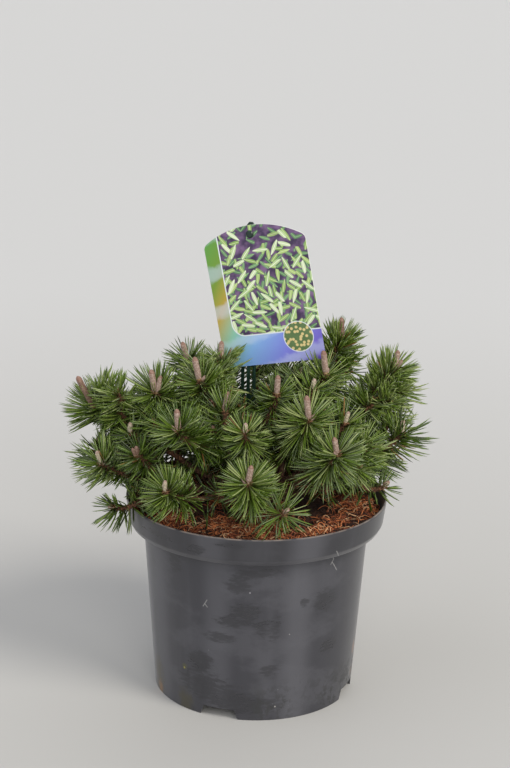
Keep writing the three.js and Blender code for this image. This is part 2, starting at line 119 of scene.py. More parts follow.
class MeshParts:
    # points and faces gathered from many small bodies, to be one mesh
    def __init__(self):
        self.points, self.faces, self.count = [], [], 0

    # picks has, for each set of faces, the number of its material, or one for each face
    def add(self, points, *faceSets, picks=(0, 0)):
        for faces, pick in zip(faceSets, picks):
            faces = np.asarray(faces)
            self.faces.append((faces + self.count, np.broadcast_to(pick, len(faces))))
        self.points.append(points)
        self.count += len(points)

    def make(self, name, *materials, smooth=True):
        points = np.concatenate(self.points) * mm
        sets = sorted(self.faces, key=lambda pair: pair[0].shape[1])
        corners = np.concatenate([faces.ravel() for faces, _ in sets])
        widths = np.concatenate([np.full(len(faces), faces.shape[1]) for faces, _ in sets])
        picks = np.concatenate([picks for _, picks in sets])
        mesh = bpy.data.meshes.new(name)
        for material in materials:
            mesh.materials.append(material)
        mesh.vertices.add(len(points))
        mesh.vertices.foreach_set("co", points.astype(np.float32).ravel())
        mesh.loops.add(len(corners))
        mesh.loops.foreach_set("vertex_index", corners.astype(np.int32))
        mesh.polygons.add(len(widths))
        mesh.polygons.foreach_set("loop_start", (np.cumsum(widths) - widths).astype(np.int32))
        mesh.polygons.foreach_set("material_index", picks.astype(np.int32))
        mesh.polygons.foreach_set("use_smooth", np.full(len(widths), smooth))
        mesh.update(calc_edges=True)
        mesh.validate()
        return addObject(name, mesh)


def makeBody(name, body, *materials):
    parts = MeshParts()
    parts.add(*body)
    return parts.make(name, *materials)


# rings of points joined into a closed tube: points is rings x sides x 3
def skin(points):
    rings, sides = points.shape[:2]
    index = np.arange(rings * sides).reshape(rings, sides)
    beside = np.roll(index, -1, 1)
    quads = np.stack([index[:-1], beside[:-1], beside[1:], index[1:]], -1).reshape(-1, 4)
    middle = np.full(sides, rings * sides)
    foot = np.stack([middle, beside[0], index[0]], -1)
    top = np.stack([middle + 1, index[-1], beside[-1]], -1)
    ends = np.stack([points[0].mean(0), points[-1].mean(0)])
    return np.concatenate([points.reshape(-1, 3), ends]), quads, np.concatenate([foot, top])


# a closed tube along a line of places: reach is rings x sides
def tube(places, tangents, reach, first=None):
    turns = turnsOf(reach.shape[1])[:, None]
    first, second = crossAxes(tangents) if first is None else (first, np.cross(tangents, first))
    ring = first[:, None] * np.cos(turns) + second[:, None] * np.sin(turns)
    return skin(places[:, None] + ring * reach[..., None])


# a tapering limb with its relief: relief(distance, turn) is a share of the radius
def limb(route, distances, radii, sides, relief):
    reach = np.asarray(radii)[:, None] * (1 + relief(distances[:, None], turnsOf(sides)))
    return tube(*route.place(distances), reach)


# rings of points from a profile of radii and heights
def turned(profile, sides):
    radii, heights = np.array(profile, float).T[..., None, None]
    turns = turnsOf(sides)
    return radii * np.stack([np.cos(turns), np.sin(turns), 0 * turns], 1) + heights * vec(0, 0, 1)


# a block that may narrow to its top
def addBlock(parts, across, behind, heights, narrowing=0.0):
    (x0, x1), (y0, y1), (z0, z1) = across, behind, heights
    points = [(x, y, z0) for x, y in ((x0, y0), (x1, y0), (x1, y1), (x0, y1))]
    points += [(x - math.copysign(narrowing, x), y, z1) for x, y, _ in points]
    faces = [(3, 2, 1, 0), (4, 5, 6, 7), (0, 1, 5, 4), (1, 2, 6, 5), (2, 3, 7, 6), (3, 0, 4, 7)]
    parts.add(np.array(points, float), faces)


def applyModifiers(thing):
    graph = bpy.context.evaluated_depsgraph_get()
    shaped = bpy.data.meshes.new_from_object(thing.evaluated_get(graph))
    thing.modifiers.clear()
    thing.data = shaped


def addPiece(piece, slot, *nodes):
    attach(piece, "root")
    if nodes:
        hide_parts(*nodes)


# finishes: node trees written as Python expressions

def linear(code):
    channels = [int(code[i:i + 2], 16) / 255 for i in (1, 3, 5)]
    return tuple(c / 12.92 if c <= 0.04045 else ((c + 0.055) / 1.055) ** 2.4 for c in channels)


class Value:
    # a node's output, so that sums and products of outputs add their own Math nodes
    def __init__(self, finish, socket):
        self.finish, self.socket = finish, socket

    def __add__(self, other):
        return self.finish.math("ADD", self, other)

    def __sub__(self, other):
        return self.finish.math("SUBTRACT", self, other)

    def __rsub__(self, other):
        return self.finish.math("SUBTRACT", other, self)

    def __mul__(self, other):
        return self.finish.math("MULTIPLY", self, other)

    def __truediv__(self, other):
        return self.finish.math("DIVIDE", self, other)

    def __pow__(self, other):
        return self.finish.math("POWER", self, other)

    __radd__ = __add__
    __rmul__ = __mul__


class Finish:
    def __init__(self, name, color, roughness, **sockets):
        self.material = bpy.data.materials.new(name)
        self.material.use_nodes = True
        self.material.diffuse_color = (*linear(color), 1)
        self.tree = self.material.node_tree
        self.shader = self.tree.nodes["Principled BSDF"]
        self.feed(self.shader, {"Base Color": color, "Roughness": roughness, **sockets})

    # any node: its type, its settings and what goes into its sockets; gives the named output
    def node(self, kind, settings=None, sockets=None, output=0):
        made = self.tree.nodes.new(kind)
        for key, value in (settings or {}).items():
            if key == "stops":
                self.setStops(made.color_ramp.elements, value)
            else:
                setattr(made, key, value)
        self.feed(made, sockets or {})
        return Value(self, made.outputs[output])

    def setStops(self, elements, stops):
        while len(elements) < len(stops):
            elements.new(1)
        for element, (place, color) in zip(elements, stops):
            element.position, element.color = place, (*linear(color), 1)

    def feed(self, node, sockets):
        for key, value in sockets.items():
            if isinstance(value, Value):
                self.tree.links.new(value.socket, node.inputs[key])
            else:
                node.inputs[key].default_value = (*linear(value), 1) if isinstance(value, str) else value

    def place(self):
        return self.node("ShaderNodeTexCoord", output="Object")

    def along(self, place, axis):
        return self.node("ShaderNodeSeparateXYZ", None, {0: place}, axis)

    def math(self, operation, first, second=0.0):
        return self.node("ShaderNodeMath", {"operation": operation}, {0: first, 1: second})

    def vector(self, operation, first, second=(0, 0, 0), output=0):
        return self.node("ShaderNodeVectorMath", {"operation": operation}, {0: first, 1: second}, output)

    # a place with its height drawn together or out
    def stretched(self, place, share):
        return self.vector("MULTIPLY", place, (1, 1, share))

    def grain(self, place, scale, detail=3, roughness=0.55):
        sockets = {"Vector": place, "Scale": scale, "Detail": detail, "Roughness": roughness}
        return self.node("ShaderNodeTexNoise", None, sockets, "Fac")

    def cells(self, place, scale, output="Distance", dimensions="3D", randomness=1.0):
        sockets = {"Vector": place, "Scale": scale, "Randomness": randomness}
        return self.node("ShaderNodeTexVoronoi", {"voronoi_dimensions": dimensions}, sockets, output)

    # 0 below low, 1 above high, smooth between
    def step(self, value, low, high):
        sockets = {"Value": value, "From Min": low, "From Max": high}
        return self.node("ShaderNodeMapRange", {"interpolation_type": "SMOOTHSTEP"}, sockets)

    def mix(self, share, first, second):
        return self.node("ShaderNodeMix", {"data_type": "RGBA"}, {0: share, 6: first, 7: second}, 2)

    # what changes over the surface: its colour, its roughness, and a relief with its depth in metres
    def done(self, color, roughness=None, relief=None, depth=0.0):
        fed = {"Base Color": color}
        if roughness:
            fed["Roughness"] = roughness
        if relief:
            fed["Normal"] = self.node("ShaderNodeBump", None, {"Height": relief, "Distance": depth})
        self.feed(self.shader, fed)
        return self.material


# camera, stage and light

cameraPlan = {
    "place": (-0.003, -1.557, 0.737),  # metres
    "pitch": 16.55,  # degrees below level
    "roll": 1.04,
    "lens": 88.7,
    "sensor": 36,
}

stagePlan = {
    "floorRadius": 14,  # metres
    # painted shade round the pot: the floor is greyer near it and paler further off
    "nearShadeColor": "#bbbab8",
    "farColor": "#c7c7c7",
    "nearReach": (0.15, 1.6),  # metres from the pot, where the one turns into the other
    "skyColor": "#f4f6fa",
    "skyStrength": 0.45,
    # name: colour, strength, spread in degrees, turn from the front, height above level
    "suns": {
        "key": ("#fffaf0", 1.9, 24, 50, 42),
        "front": ("#fffdf8", 1.25, 36, 8, 25),
        "fill": ("#f4f7ff", 0.6, 70, -66, 34),
        "rim": ("#ffffff", 0.45, 70, 165, 42),
    },
}


def makeCamera(plan):
    data = bpy.data.cameras.new("camera")
    data.lens, data.sensor_width = plan["lens"], plan["sensor"]
    data.clip_start, data.clip_end = 0.05, 60
    view = addObject("camera", data)
    tilt = Matrix.Rotation(math.radians(90 - plan["pitch"]), 4, "X")
    roll = Matrix.Rotation(math.radians(plan["roll"]), 4, "Z")
    view.matrix_world = Matrix.Translation(plan["place"]) @ tilt @ roll
    bpy.context.scene.camera = view


def makeLights(plan):
    for name, (color, strength, spread, turn, height) in plan["suns"].items():
        data = bpy.data.lights.new(name, "SUN")
        data.color, data.energy, data.angle = linear(color), strength, math.radians(spread)
        addObject(name, data).rotation_euler = (math.radians(90 - height), 0, math.radians(turn))
    world = bpy.data.worlds.new("softRoom")
    world.use_nodes = True
    sky = world.node_tree.nodes["Background"].inputs
    sky["Color"].default_value = (*linear(plan["skyColor"]), 1)
    sky["Strength"].default_value = plan["skyStrength"]
    bpy.context.scene.world = world
    bpy.context.scene.view_settings.view_transform = "Standard"


def makeStage(plan):
    near, far = plan["nearShadeColor"], plan["farColor"]
    finish = Finish("paleFloor", far, 0.7)
    reach = finish.vector("LENGTH", finish.place(), output="Value")
    mesh = bpy.data.meshes.new("floor")
    rim = turned([(plan["floorRadius"], 0)], 64)[0]
    mesh.from_pydata(rim.tolist(), [], [list(range(64))])
    # painted shade: greyer floor near the pot, paler beyond
    mesh.materials.append(finish.done(finish.mix(finish.step(reach, *plan["nearReach"]), near, far)))
    addObject("floor", mesh)


makeCamera(cameraPlan)
makeLights(stagePlan)
makeStage(stagePlan)
print("camera, lights and floor made")


# pot

pot = {
    "height": 175, "wall": 1.8, "floor": 2.2, "padRadius": 58, "footHeight": 9.5, "baseRadius": 87.5,
    "shoulderRadius": 98.5, "shoulderHeight": 151, "collarHeight": 22, "collarFootRadius": 111.2,
    "collarRadius": 113.7, "sides": 144,
}
notch = {"count": 4, "firstTurn": -19.5, "width": 34, "height": 9, "slant": 3, "below": 5, "reachIn": 12}

potLook = {
    # the damp colour serves both the damp blotches and the painted shade on the collar
    "color": "#424248", "dark": "#36363c", "pale": "#535359", "moss": "#292a29", "dampAndShade": "#2b2b2f",
    "paleRimEdge": "#94867d", "dust": "#8d8c8c", "scratch": "#b9b8b6",
    "wallRadius": 95,
    # marks are placed by their turn from the front, + to the right, and their height
    # painted reflections: pale bands down the wall, in the pale colour, that stand for the gloss of soft lights:
    # turn, half width, strength
    "bands": [(-19.5, 18, 0.55), (22.8, 21, 0.7), (-60, 22, 0.6), (-78, 17, 1), (106, 20, 0.5), (152, 17, 0.65),
              (-128, 21, 0.6)],
    # damp blotches with ragged edges: turn, height, half width, half height
    "blotches": [
        (-8, 127, 13, 10), (-4, 104, 17, 10), (-11, 93, 20, 7), (-18, 77, 19, 6), (-30, 52, 17, 10),
        (-27, 28, 36, 15), (39, 106, 15, 14), (26, 109, 5, 5), (44, 62, 14, 9), (8, 48, 12, 6), (-3, 14, 40, 12),
        (-44, 137, 9, 12), (2, 140, 22, 6), (-45, 165, 18, 4), (-43.5, 154, 6, 4), (-26.5, 161, 10, 6),
        (-11, 169, 14, 3),
        (84, 90, 20, 12), (108, 30, 34, 14), (131, 118, 17, 10), (155, 78, 22, 9), (176, 24, 38, 13),
        (-152, 112, 15, 12), (-118, 60, 20, 10), (-96, 128, 18, 8), (-78, 60, 16, 9),
    ],
    # earth at the foot, and small marks on the wall: turn, height, size, colour
    "stains": [(-69, 14, 12.5, "#47402a"), (-67, 4, 6, "#866033"), (76, 42, 4, "#7d5238"), (76, 18, 4, "#5f4a35"),
               (-42, 4, 10, "#413d2f"), (148, 6, 8, "#4a3f2d"), (-150, 8, 7, "#54452f")],
    "spots": [(-40.8, 41, 3, "#484833"), (-41, 39.5, 1, "#8f8740"), (12.4, 13, 0.8, "#a3a19c"),
              (-2.4, 121.3, 0.8, "#8a898d"), (18.7, 81, 0.6, "#8a898a"), (118, 70, 0.9, "#8a898d"),
              (-140, 45, 1.1, "#8f8740")],
    # fine scratches: from and to, turn and height
    "scratches": [((37.2, 157), (42.4, 143.5)), ((42.4, 143.5), (40.7, 139.1)), ((41.4, 141.2), (43.2, 137.2)),
                  ((43.2, 137.2), (45.2, 132.2)), ((-24.8, 110.2), (-27.1, 103.8)), ((-26, 106.1), (-24.7, 103.7)),
                  ((163, 96), (167, 88))],
}

collarFoot = pot["height"] - pot["collarHeight"]
wallSlope = (pot["shoulderRadius"] - pot["baseRadius"]) / pot["shoulderHeight"]


def potProfile():
    height, wall, floor, foot, shelf = (pot[key] for key in "height wall floor footHeight shoulderHeight".split())
    pad, base, shoulder, collar, rim = (pot[key + "Radius"] for key in "pad base shoulder collarFoot collar".split())
    inner, floorTop = base - wall, foot + floor
    return [
        (0.01, 0), (pad, 0), (pad + 3, foot), (inner, foot), (inner, 0.3), (inner + 0.3, 0), (base - 0.3, 0),
        (base, 0.4), (shoulder - 0.4, shelf - 2.6), (shoulder + 0.5, shelf - 1.5),
        # the collar ends in a slanting lip, a little below its flat face
        (collar - 5, collarFoot - 2.7), (collar - 3, collarFoot - 2.4), (collar - 2.2, collarFoot - 1.7),
        (collar - 0.7, collarFoot + 1.3), (collar - 0.1, collarFoot + 2.1), (collar + 0.1, collarFoot + 3.4),
        (rim - 0.15, height - 2.2), (rim, height - 1.2), (rim - 0.25, height - 0.3), (rim - 0.7, height),
        (rim - wall + 0.5, height), (rim - wall, height - 0.8),
        # the inside
        (collar - wall, collarFoot + 3), (collar - wall - 2, collarFoot + 1.2), (shoulder - wall, shelf + 1.6),
        (inner + wallSlope * floorTop, floorTop), (pad + 3 - floor, floorTop), (pad - floor, floor), (0.01, floor),
    ]


def notchTool(turn):
    spread = notch["slant"] * notch["below"] / notch["height"]
    half = notch["width"] / 2 + spread
    behind = -pot["baseRadius"] - notch["reachIn"], -pot["baseRadius"] + notch["reachIn"]
    parts = MeshParts()
    addBlock(parts, (-half, half), behind, (-notch["below"], notch["height"]), spread + notch["slant"])
    tool = parts.make("notchTool", smooth=False)
    tool.matrix_world = Matrix.Rotation(math.radians(turn), 4, "Z")
    return tool


def potFinish(look):
    sockets = {"Specular IOR Level": 0.55, "Sheen Weight": 0.16, "Sheen Roughness": 0.35}
    finish = Finish("potPlastic", look["color"], 0.4, **sockets)
    mix, step, grain, stretched = finish.mix, finish.step, finish.grain, finish.stretched
    radius = look["wallRadius"] * mm
    place = finish.place()
    height = finish.along(place, "Z")
    around = finish.math("ARCTAN2", finish.along(place, "X"), 0 - finish.along(place, "Y")) * radius

    # how far off a mark is, as a share of its size
    def away(turn, z, wide, tall):
        across, rise = around - math.radians(turn) * radius, height - z * mm
        return ((across / (wide * mm)) ** 2 + (rise / (tall * mm)) ** 2) ** 0.5

    def marked(base, marks, tall, ragged, low, high):
        for turn, z, size, color in marks:
            far = away(turn, z, size, size * tall) + (crumbs - 0.5) * ragged
            base = mix((1 - step(far, low, high)) * 0.8, base, color)
        return base

    # soft smudges, longer across than up, painted shade on the collar, and painted reflections: pale bands down the
    # wall
    smudges = grain(stretched(place, 1.8), 15, 5, 0.62)
    base = mix(step(smudges, 0.47, 0.6), look["dark"], look["color"])
    # painted shade: the collar, from 154.5 mm up, is darkened towards the damp colour
    base = mix(step(height, 0.1545, 0.1555) * 0.6, base, look["dampAndShade"])
    # painted reflections: faint vertical streaks and the listed bands, mixed towards the pale colour
    bands = step(grain(stretched(place, 0.1), 42), 0.5, 0.8) * 0.3
    for turn, width, strength in look["bands"]:
        far = finish.math("ABSOLUTE", around - math.radians(turn) * radius)
        bands = bands + (1 - step(far, width * mm * 0.1, width * mm)) * strength
    base = mix(bands, base, look["pale"])
    # damp blotches: fine level streaks gathered in patches
    streaks = grain(stretched(place, 3.4), 120, 5, 0.72)
    blotch = step(grain(place, 17, 2), 0.6, 0.68) * 0.7
    for mark in look["blotches"]:
        blotch = blotch + 1 - step(away(*mark), 0.3, 1.5)
    damp = step(streaks * 0.55 + finish.math("MINIMUM", blotch, 1.0) * 0.2, 0.36, 0.47)
    base = mix(damp * finish.math("MINIMUM", blotch * 1.5, 1.0) * 0.7, base, look["dampAndShade"])
    # dark mottling and earth low on the wall, in a few places round the foot
    crumbs = grain(place, 130, 4, 0.7)
    low = 1 - step(height + crumbs * 0.02, 0.022, 0.06)
    mottle = step(crumbs, 0.47, 0.6) * step(grain(stretched(place, 0.4), 11, 1), 0.47, 0.56)
    base = mix(mottle * low * 0.6, base, look["moss"])
    base = marked(base, look["stains"], 1 / 0.6, 2.6, 0.3, 1.2)
    # pale specks of dust, a few dried drops and scratches, and a pale, patchy edge round the top of the rim
    speck = 1 - step(finish.cells(place, 85), 0.03, 0.06)
    base = mix(speck * step(grain(place, 33, 1), 0.57, 0.6) * 0.35, base, look["dust"])
    base = marked(base, look["spots"], 1, 0.8, 0.6, 1.2)
    for ends in look["scratches"]:
        (x0, z0), (x1, z1) = [(math.radians(turn) * radius, z * mm) for turn, z in ends]
        length = math.hypot(x1 - x0, z1 - z0)
        alongX, alongZ = (x1 - x0) / length, (z1 - z0) / length
        run = finish.math("MAXIMUM", (around - x0) * alongX + (height - z0) * alongZ, 0.0)
        run = finish.math("MINIMUM", run, length)
        far = ((around - x0 - run * alongX) ** 2 + (height - z0 - run * alongZ) ** 2) ** 0.5
        base = mix((1 - step(far, 0.0002, 0.0006)) * 0.34, base, look["scratch"])
    paleRimEdge = step(height, 0.1738, 0.1748) * step(grain(place, 90), 0.3, 0.6)
    base = mix(paleRimEdge * 0.6, base, look["paleRimEdge"])
    rough = 0.27 + smudges * 0.14 - damp * 0.06 + low * mottle * 0.2
    return finish.done(base, rough, grain(place, 700, 2) * 0.5 + smudges, 0.00008)


def makePot():
    body = makeBody("pot_body", skin(turned(potProfile(), pot["sides"])), potFinish(potLook))
    tools = [notchTool(notch["firstTurn"] + 360 / notch["count"] * i) for i in range(notch["count"])]
    for tool in tools:
        cut = body.modifiers.new("notch", "BOOLEAN")
        cut.operation, cut.solver, cut.object = "DIFFERENCE", "EXACT", tool
    applyModifiers(body)
    for tool in tools:
        bpy.data.objects.remove(tool)
    body.data.set_sharp_from_angle(angle=math.radians(32))
    addPiece(body, "pot_plastic", "pot")


makePot()
print("pot made")


# soil and coir

soil = {
    "level": 161.5, "flatRadius": 36, "bump": 2.2, "sides": 168, "rings": 70, "lumps": 1.5, "strands": 7200,
    "patches": 20,  # how far apart the patches of coir lie, and the clumps in them
    "clumps": 7,
    # heaps of coir and bare hollows between them: across, back, radius, how much
    "heaps": [(-72, -30, 15, 0.8), (-27, -46, 17, 0.7), (2, -60, 15, 0.5), (62, -36, 11, 0.6), (94, 2, 12, 0.55),
              (54, -62, 9, 0.25), (25, -66, 10, 0.3), (-50, -42, 10, -1.0), (46, -4, 19, -1.1), (40, 20, 16, -0.8),
              (38, -46, 10, -0.8), (-14, -6, 18, -0.6), (-60, 0, 16, -0.6), (80, -14, 8, -0.8), (76, -42, 7, -0.5)],
    "seed": 7,
}
soilEdge = pot["collarFootRadius"] - pot["wall"] - 0.7

# each kind of fibre: its colour, and its share over all and on the heaps
coirShades = {
    "coir_orange": ("#c8794a", 0.27, 0.58),
    "coir_tan": ("#d4a880", 0.10, 0.2),
    "coir_russet": ("#85482e", 0.38, 0.18),
    "coir_dark": ("#3b241b", 0.25, 0.04),
}


def soilHeight(x, y):
    reach = math.hypot(x, y)
    swell = math.sin(x * 0.11 + 1.3) * math.cos(y * 0.13 - 0.4) + 0.5 * math.sin(x * 0.23 - y * 0.19)
    rise = soil["bump"] * swell * min(1, max(0, reach - soil["flatRadius"]) / 12)
    rough = noise.noise(Vector((x, y, 3)) / 9) + 0.55 * noise.noise(Vector((x, y, 9)) / 2.6)
    return soil["level"] + rise + soil["lumps"] * rough * min(1, max(0, reach - 12) / 10)


def soilFinish():
    finish = Finish("rootBallSoil", "#3a251b", 0.95)
    place = finish.place()
    crumbs = finish.grain(place, 260, 4, 0.65)
    base = finish.mix(finish.step(crumbs, 0.35, 0.7), "#21130e", "#4a2d20")
    base = finish.mix(finish.step(finish.grain(place, 60), 0.5, 0.72) * 0.3, base, "#70432a")
    return finish.done(base, None, crumbs, 0.0012)


def makeSoil():
    gap, floor, pad = pot["wall"] + 0.4, pot["floor"], pot["padRadius"]
    floorTop = pot["footHeight"] + floor + 0.4
    sides = [
        (0.5, floor + 0.4), (pad - floor - 0.6, floor + 0.4), (pad + 2.4 - floor, floorTop),
        (pot["baseRadius"] - gap + wallSlope * floorTop, floorTop),
        (pot["shoulderRadius"] - gap - 0.4, pot["shoulderHeight"] + 1.6), (soilEdge - 2.4, collarFoot + 2.4),
        (soilEdge, collarFoot + 4.4), (soilEdge, soil["level"] - 2),
    ]
    top = [(radius, 0) for radius in np.linspace(soilEdge - 0.6, 1, soil["rings"])]
    rings = turned(sides + top, soil["sides"])
    for ring in rings[len(sides):]:
        ring[:, 2] = [soilHeight(x, y) for x, y in ring[:, :2]]
    addPiece(makeBody("soil_top", skin(rings), soilFinish()), "soil", "root_ball")


def coirThickness(x, y):
    place = Vector((x, y, 1806))
    thickness = noise.noise(place / soil["patches"]) + 0.6 * noise.noise(place / soil["clumps"])
    for heapX, heapY, radius, much in soil["heaps"]:
        thickness += much * math.exp(-((x - heapX) ** 2 + (y - heapY) ** 2) / radius ** 2)
    return thickness


# one strand of coir: a thin curling fibre that lies over the soil
def strand(random, start, length, width):
    steps = 7
    heading = random.uniform(0, 2 * math.pi)
    turning = random.normal(0, 0.5)
    lift = random.uniform(0.4, 5.5) * random.random()
    spine = [np.array(start)]
    for _ in range(steps):
        heading += turning + random.normal(0, 0.25)
        spine.append(spine[-1] + length / steps * np.array((math.cos(heading), math.sin(heading))))
    reach = np.linalg.norm(spine, axis=1)
    if reach.max() > soilEdge - 0.8 or reach.min() < 15:
        return None
    arch = np.sin(np.linspace(0.15, math.pi - 0.15, steps + 1))
    tops = np.array([soilHeight(x, y) for x, y in spine]) + 0.2 + lift * arch
    places = np.column_stack([spine, tops])
    tangents = unit(np.gradient(places, axis=0))
    widths = width * np.array([0.4, *[1] * (steps - 1), 0.4])
    return tube(places, tangents, np.tile(widths[:, None], 3), unit(np.cross(vec(0, 0, 1), tangents)))


def makeCoir():
    random = np.random.default_rng(soil["seed"])
    shades = list(coirShades)
    _, everywhere, onHeaps = zip(*coirShades.values())
    parts = {name: MeshParts() for name in shades}
    made = 0
    while made < soil["strands"]:
        reach = soilEdge * math.sqrt(random.random())
        turn = random.uniform(0, 2 * math.pi)
        start = (reach * math.cos(turn), reach * math.sin(turn))
        thickness = coirThickness(*start)
        if thickness < random.normal(0.1, 0.1):
            continue
        body = strand(random, start, random.uniform(6, 20), random.uniform(0.28, 0.64))
        made += 1
        if body:
            shares = onHeaps if random.random() < 0.9 * (thickness - 0.22) else everywhere
            parts[shades[random.choice(len(shades), p=shares)]].add(*body)
    for name, (color, _, _) in coirShades.items():
        addPiece(parts[name].make(name, Finish(name, color, 0.85).material), "soil")


makeSoil()
makeCoir()
print("soil and coir made")


# the plant's skeleton, grown by the same rule as the solids

trunk = {"footRadius": 16, "flareHeight": 9, "radius": 10.5, "topRadius": 7, "top": (3, 2, 208)}
bough = {"footRadius": 3, "tipRadius": 2.4, "share": 0.48, "sag": 0.78, "out": 0.55, "rise": 0.12, "fork": 0.34}
crown = {"centreHeight": 150, "lift": 0.3}
budFollow = 0.35  # a bud follows its shoot this much, against one part of straight up

# boughs: the height of the foot on the trunk, and its shoots: turn from the front in degrees, + to the
# right; reach; height of the bud's foot; length of the bud; lean of the bud to the right; and what the
# shoot has of its own. Of these, lift is how it rises; forward, how it turns to the front in its last
# stretch; bare, how far below the bud its needles end; weak, that it is overshadowed, thin, dark and
# has no bud; and sideBuds are smaller buds beside its own: how far to the right, length, lean
frontBoughs = {
    "left_low": (174, [
        (-96, 139, 206, 13, -6, dict(pairs=205, zone=60, crowding=1.2, tone="dark")),
        (-82, 104, 199, 8, -13, dict(weak=True)),
    ]),
    "left_middle": (178, [
        (-73, 138, 213, 13, -18, dict(forward=0.3, tone="pale", sideBuds=[(3.4, 7, -6)])),
        (-59, 116, 228, 9, -13, dict(forward=0.5, length=25, pairs=80, mix="dark", tone="dark",
                                     sideBuds=[(-4.4, 8, -20)])),
        (-66, 132, 179, 5, -80, dict(lift=0.05, length=26, pairs=75, mix="dark")),
    ]),
    "left_high": (184, [
        (-92, 142, 249, 33, -25, dict(forward=1.0, pairs=195, zone=30, lowSweep=-30, highSweep=50, bare=3,
                                      length=34, tone="dark", sideBuds=[(3.4, 8, 8)])),
        (-74, 112, 238, 10, -5, dict(length=22, pairs=50, tone="pale")),
    ]),
    "left_upper": (196, [
        (-77, 90, 271, 22, -9, dict(forward=0.7, pairs=185, length=33, lowSweep=-40, zone=34,
                                    sideBuds=[(2.6, 17, 12)])),
        (-112, 67, 288, 17, -16, dict(forward=0.6, pairs=110, length=25, highSweep=26)),
    ]),
    "left_top": (204, [
        (-60, 58, 286, 21, -11, dict(forward=0.4, highSweep=38, length=29, bare=6, sideBuds=[(4.2, 5.5, 38)])),
        (-104, 34, 293, 17, 2, dict(highSweep=26, length=28)),
    ]),
    "front_left_low": (174, [
        (-37, 124, 211, 10, -3, dict(length=29, pairs=130, zone=27, lowSweep=10, highSweep=36, bare=3,
                                     mix="leafy", tone="pale")),
        (-22, 82, 201, 7, 4, dict(weak=True)),
    ]),
    "front_left": (188, [
        (-41, 100, 256, 19, -4, dict(pairs=150, length=32, sideBuds=[(-4, 6, -42)])),
        (-25, 66, 269, 17, 11, dict(length=32, pairs=40, highSweep=64)),
    ]),
    "front_low": (170, [
        (-4, 105, 221, 17, 9, dict(length=30, pairs=165, zone=32, mix="leafy", sideBuds=[(-3.6, 7, -24)])),
        (12, 110, 197, 6, 39, dict(length=29, pairs=44, mix="misty")),
    ]),
    "front_upper": (197, [
        (-7, 86, 258, 9, 3, dict(length=24, pairs=90, tone="pale")),
        (17, 52, 281, 17, 3, dict(forward=0.5, length=25, pairs=85, highSweep=40, bare=3)),
        (-38, 22, 258, 8, 6, dict(weak=True)),
    ]),
    "front_right": (188, [
        (29, 86, 267, 22, -6, dict(forward=0.3, pairs=160, length=31, lowSweep=-28, sideBuds=[(3, 7, 38)])),
        (61, 52, 277, 11, 10, dict(length=25, pairs=60, tone="pale")),
    ]),
    "front_right_low": (178, [
        (36, 111, 242, 16, -10, dict(length=30, pairs=165, zone=36, mix="misty")),
        (56, 88, 257, 8, 16, dict(length=28, pairs=56, highSweep=50, bare=3, tone="pale", budShare=1.25)),
        (40, 92, 206, 7, 5, dict(weak=True)),
    ]),
    "right_low": (173, [
        (85, 124, 235, 13, 7, dict(pairs=84, length=34, mix="dark", tone="pale")),
        (70, 102, 228, 7, 8, dict(length=27, pairs=80)),
        (77, 112, 192, 12, 42, dict(length=22, pairs=40, mix="dark", budShare=0.6)),
    ]),
    "right_high": (184, [
        (97, 119, 288, 15, 7, dict(forward=0.25, pairs=210, zone=58, mix="sunny", length=30, highSweep=42,
                                   bare=6, sideBuds=[(4.2, 8, 26), (-2.4, 6, -18)])),
        (91, 96, 262, 7, 4, dict(weak=True)),
    ]),
    "right_upper": (194, [
        (113, 78, 310, 17, -3, dict(forward=0.2, pairs=190, length=28, highSweep=50, bare=6, tone="dark",
                                    mix="leafy")),
    ]),
    "right_top": (204, [
        (80, 58, 288, 21, -7, dict(forward=0.4, pairs=140, length=29, highSweep=36, bare=5)),
        (119, 41, 274, 10, 3, dict(highSweep=26, length=28)),
    ]),
}

# rings of boughs behind: name, height of the foot, count, turn, step, reach, height, shoots
backRings = [("back_low", 168, 5, 118, 31, 110, 208, 3), ("back_upper", 183, 4, 136, 29, 68, 254, 2)]
backShoot = {"across": 21, "reach": 14, "height": 17, "bud": 15, "seed": 20}
footStep = 8
stakeTurn, stakeBerth = 203, 34


def seededDraws(seed):
    state = seed
    while True:
        state = (state * 1664525 + 1013904223) % 4294967296
        yield state / 4294967296


def shootsBehind(turn, reach, height, count, draws):
    shoots = []
    for k in range(count):
        side = 2 * k / (count - 1) - 1
        rise = -0.5 if k % 2 == 0 else 0.8
        across = math.degrees(backShoot["across"] * side / reach)
        stray = [next(draws) - 0.5 for _ in range(4)]
        shoots.append((
            turn + across + 4 * stray[0],
            reach - backShoot["reach"] * rise + backShoot["reach"] * stray[1],
            height + backShoot["height"] * rise + 8 * stray[2],
            backShoot["bud"] + 12 * stray[3], None, {},
        ))
    return shoots


def allBoughs():
    yield from ((name, *plan) for name, plan in frontBoughs.items())
    draws = seededDraws(backShoot["seed"])
    for name, foot, count, turn, step, reach, height, shoots in backRings:
        for i in range(count):
            behind = shootsBehind(turn + step * i, reach, height, shoots, draws)
            yield f"{name}_{i + 1}", foot + footStep * (i % 2), behind


trunkFoot = vec(0, 0, soil["level"] + clearance)
trunkTop = vec(*trunk["top"])
trunkRoute = Route(trunkFoot, vec(0, 0, (trunkFoot[2] + trunkTop[2]) / 2), trunkTop)


def trunkRadius(distance):
    flare = trunk["flareHeight"]
    if distance < flare:
        share = math.sin(max(0, distance) / flare * math.pi / 2)
        return lerp(trunk["footRadius"], trunk["radius"], share)
    return lerp(trunk["radius"], trunk["topRadius"], (distance - flare) / (trunkRoute.length - flare))


# no bough starts in the stake's berth
def footTurn(turn):
    off = (turn - stakeTurn + 540) % 360 - 180
    return stakeTurn + math.copysign(stakeBerth, off) if abs(off) < stakeBerth else turn


def headingOf(head, lift):
    return unit(unit(head - vec(0, 0, crown["centreHeight"])) + vec(0, 0, lift))


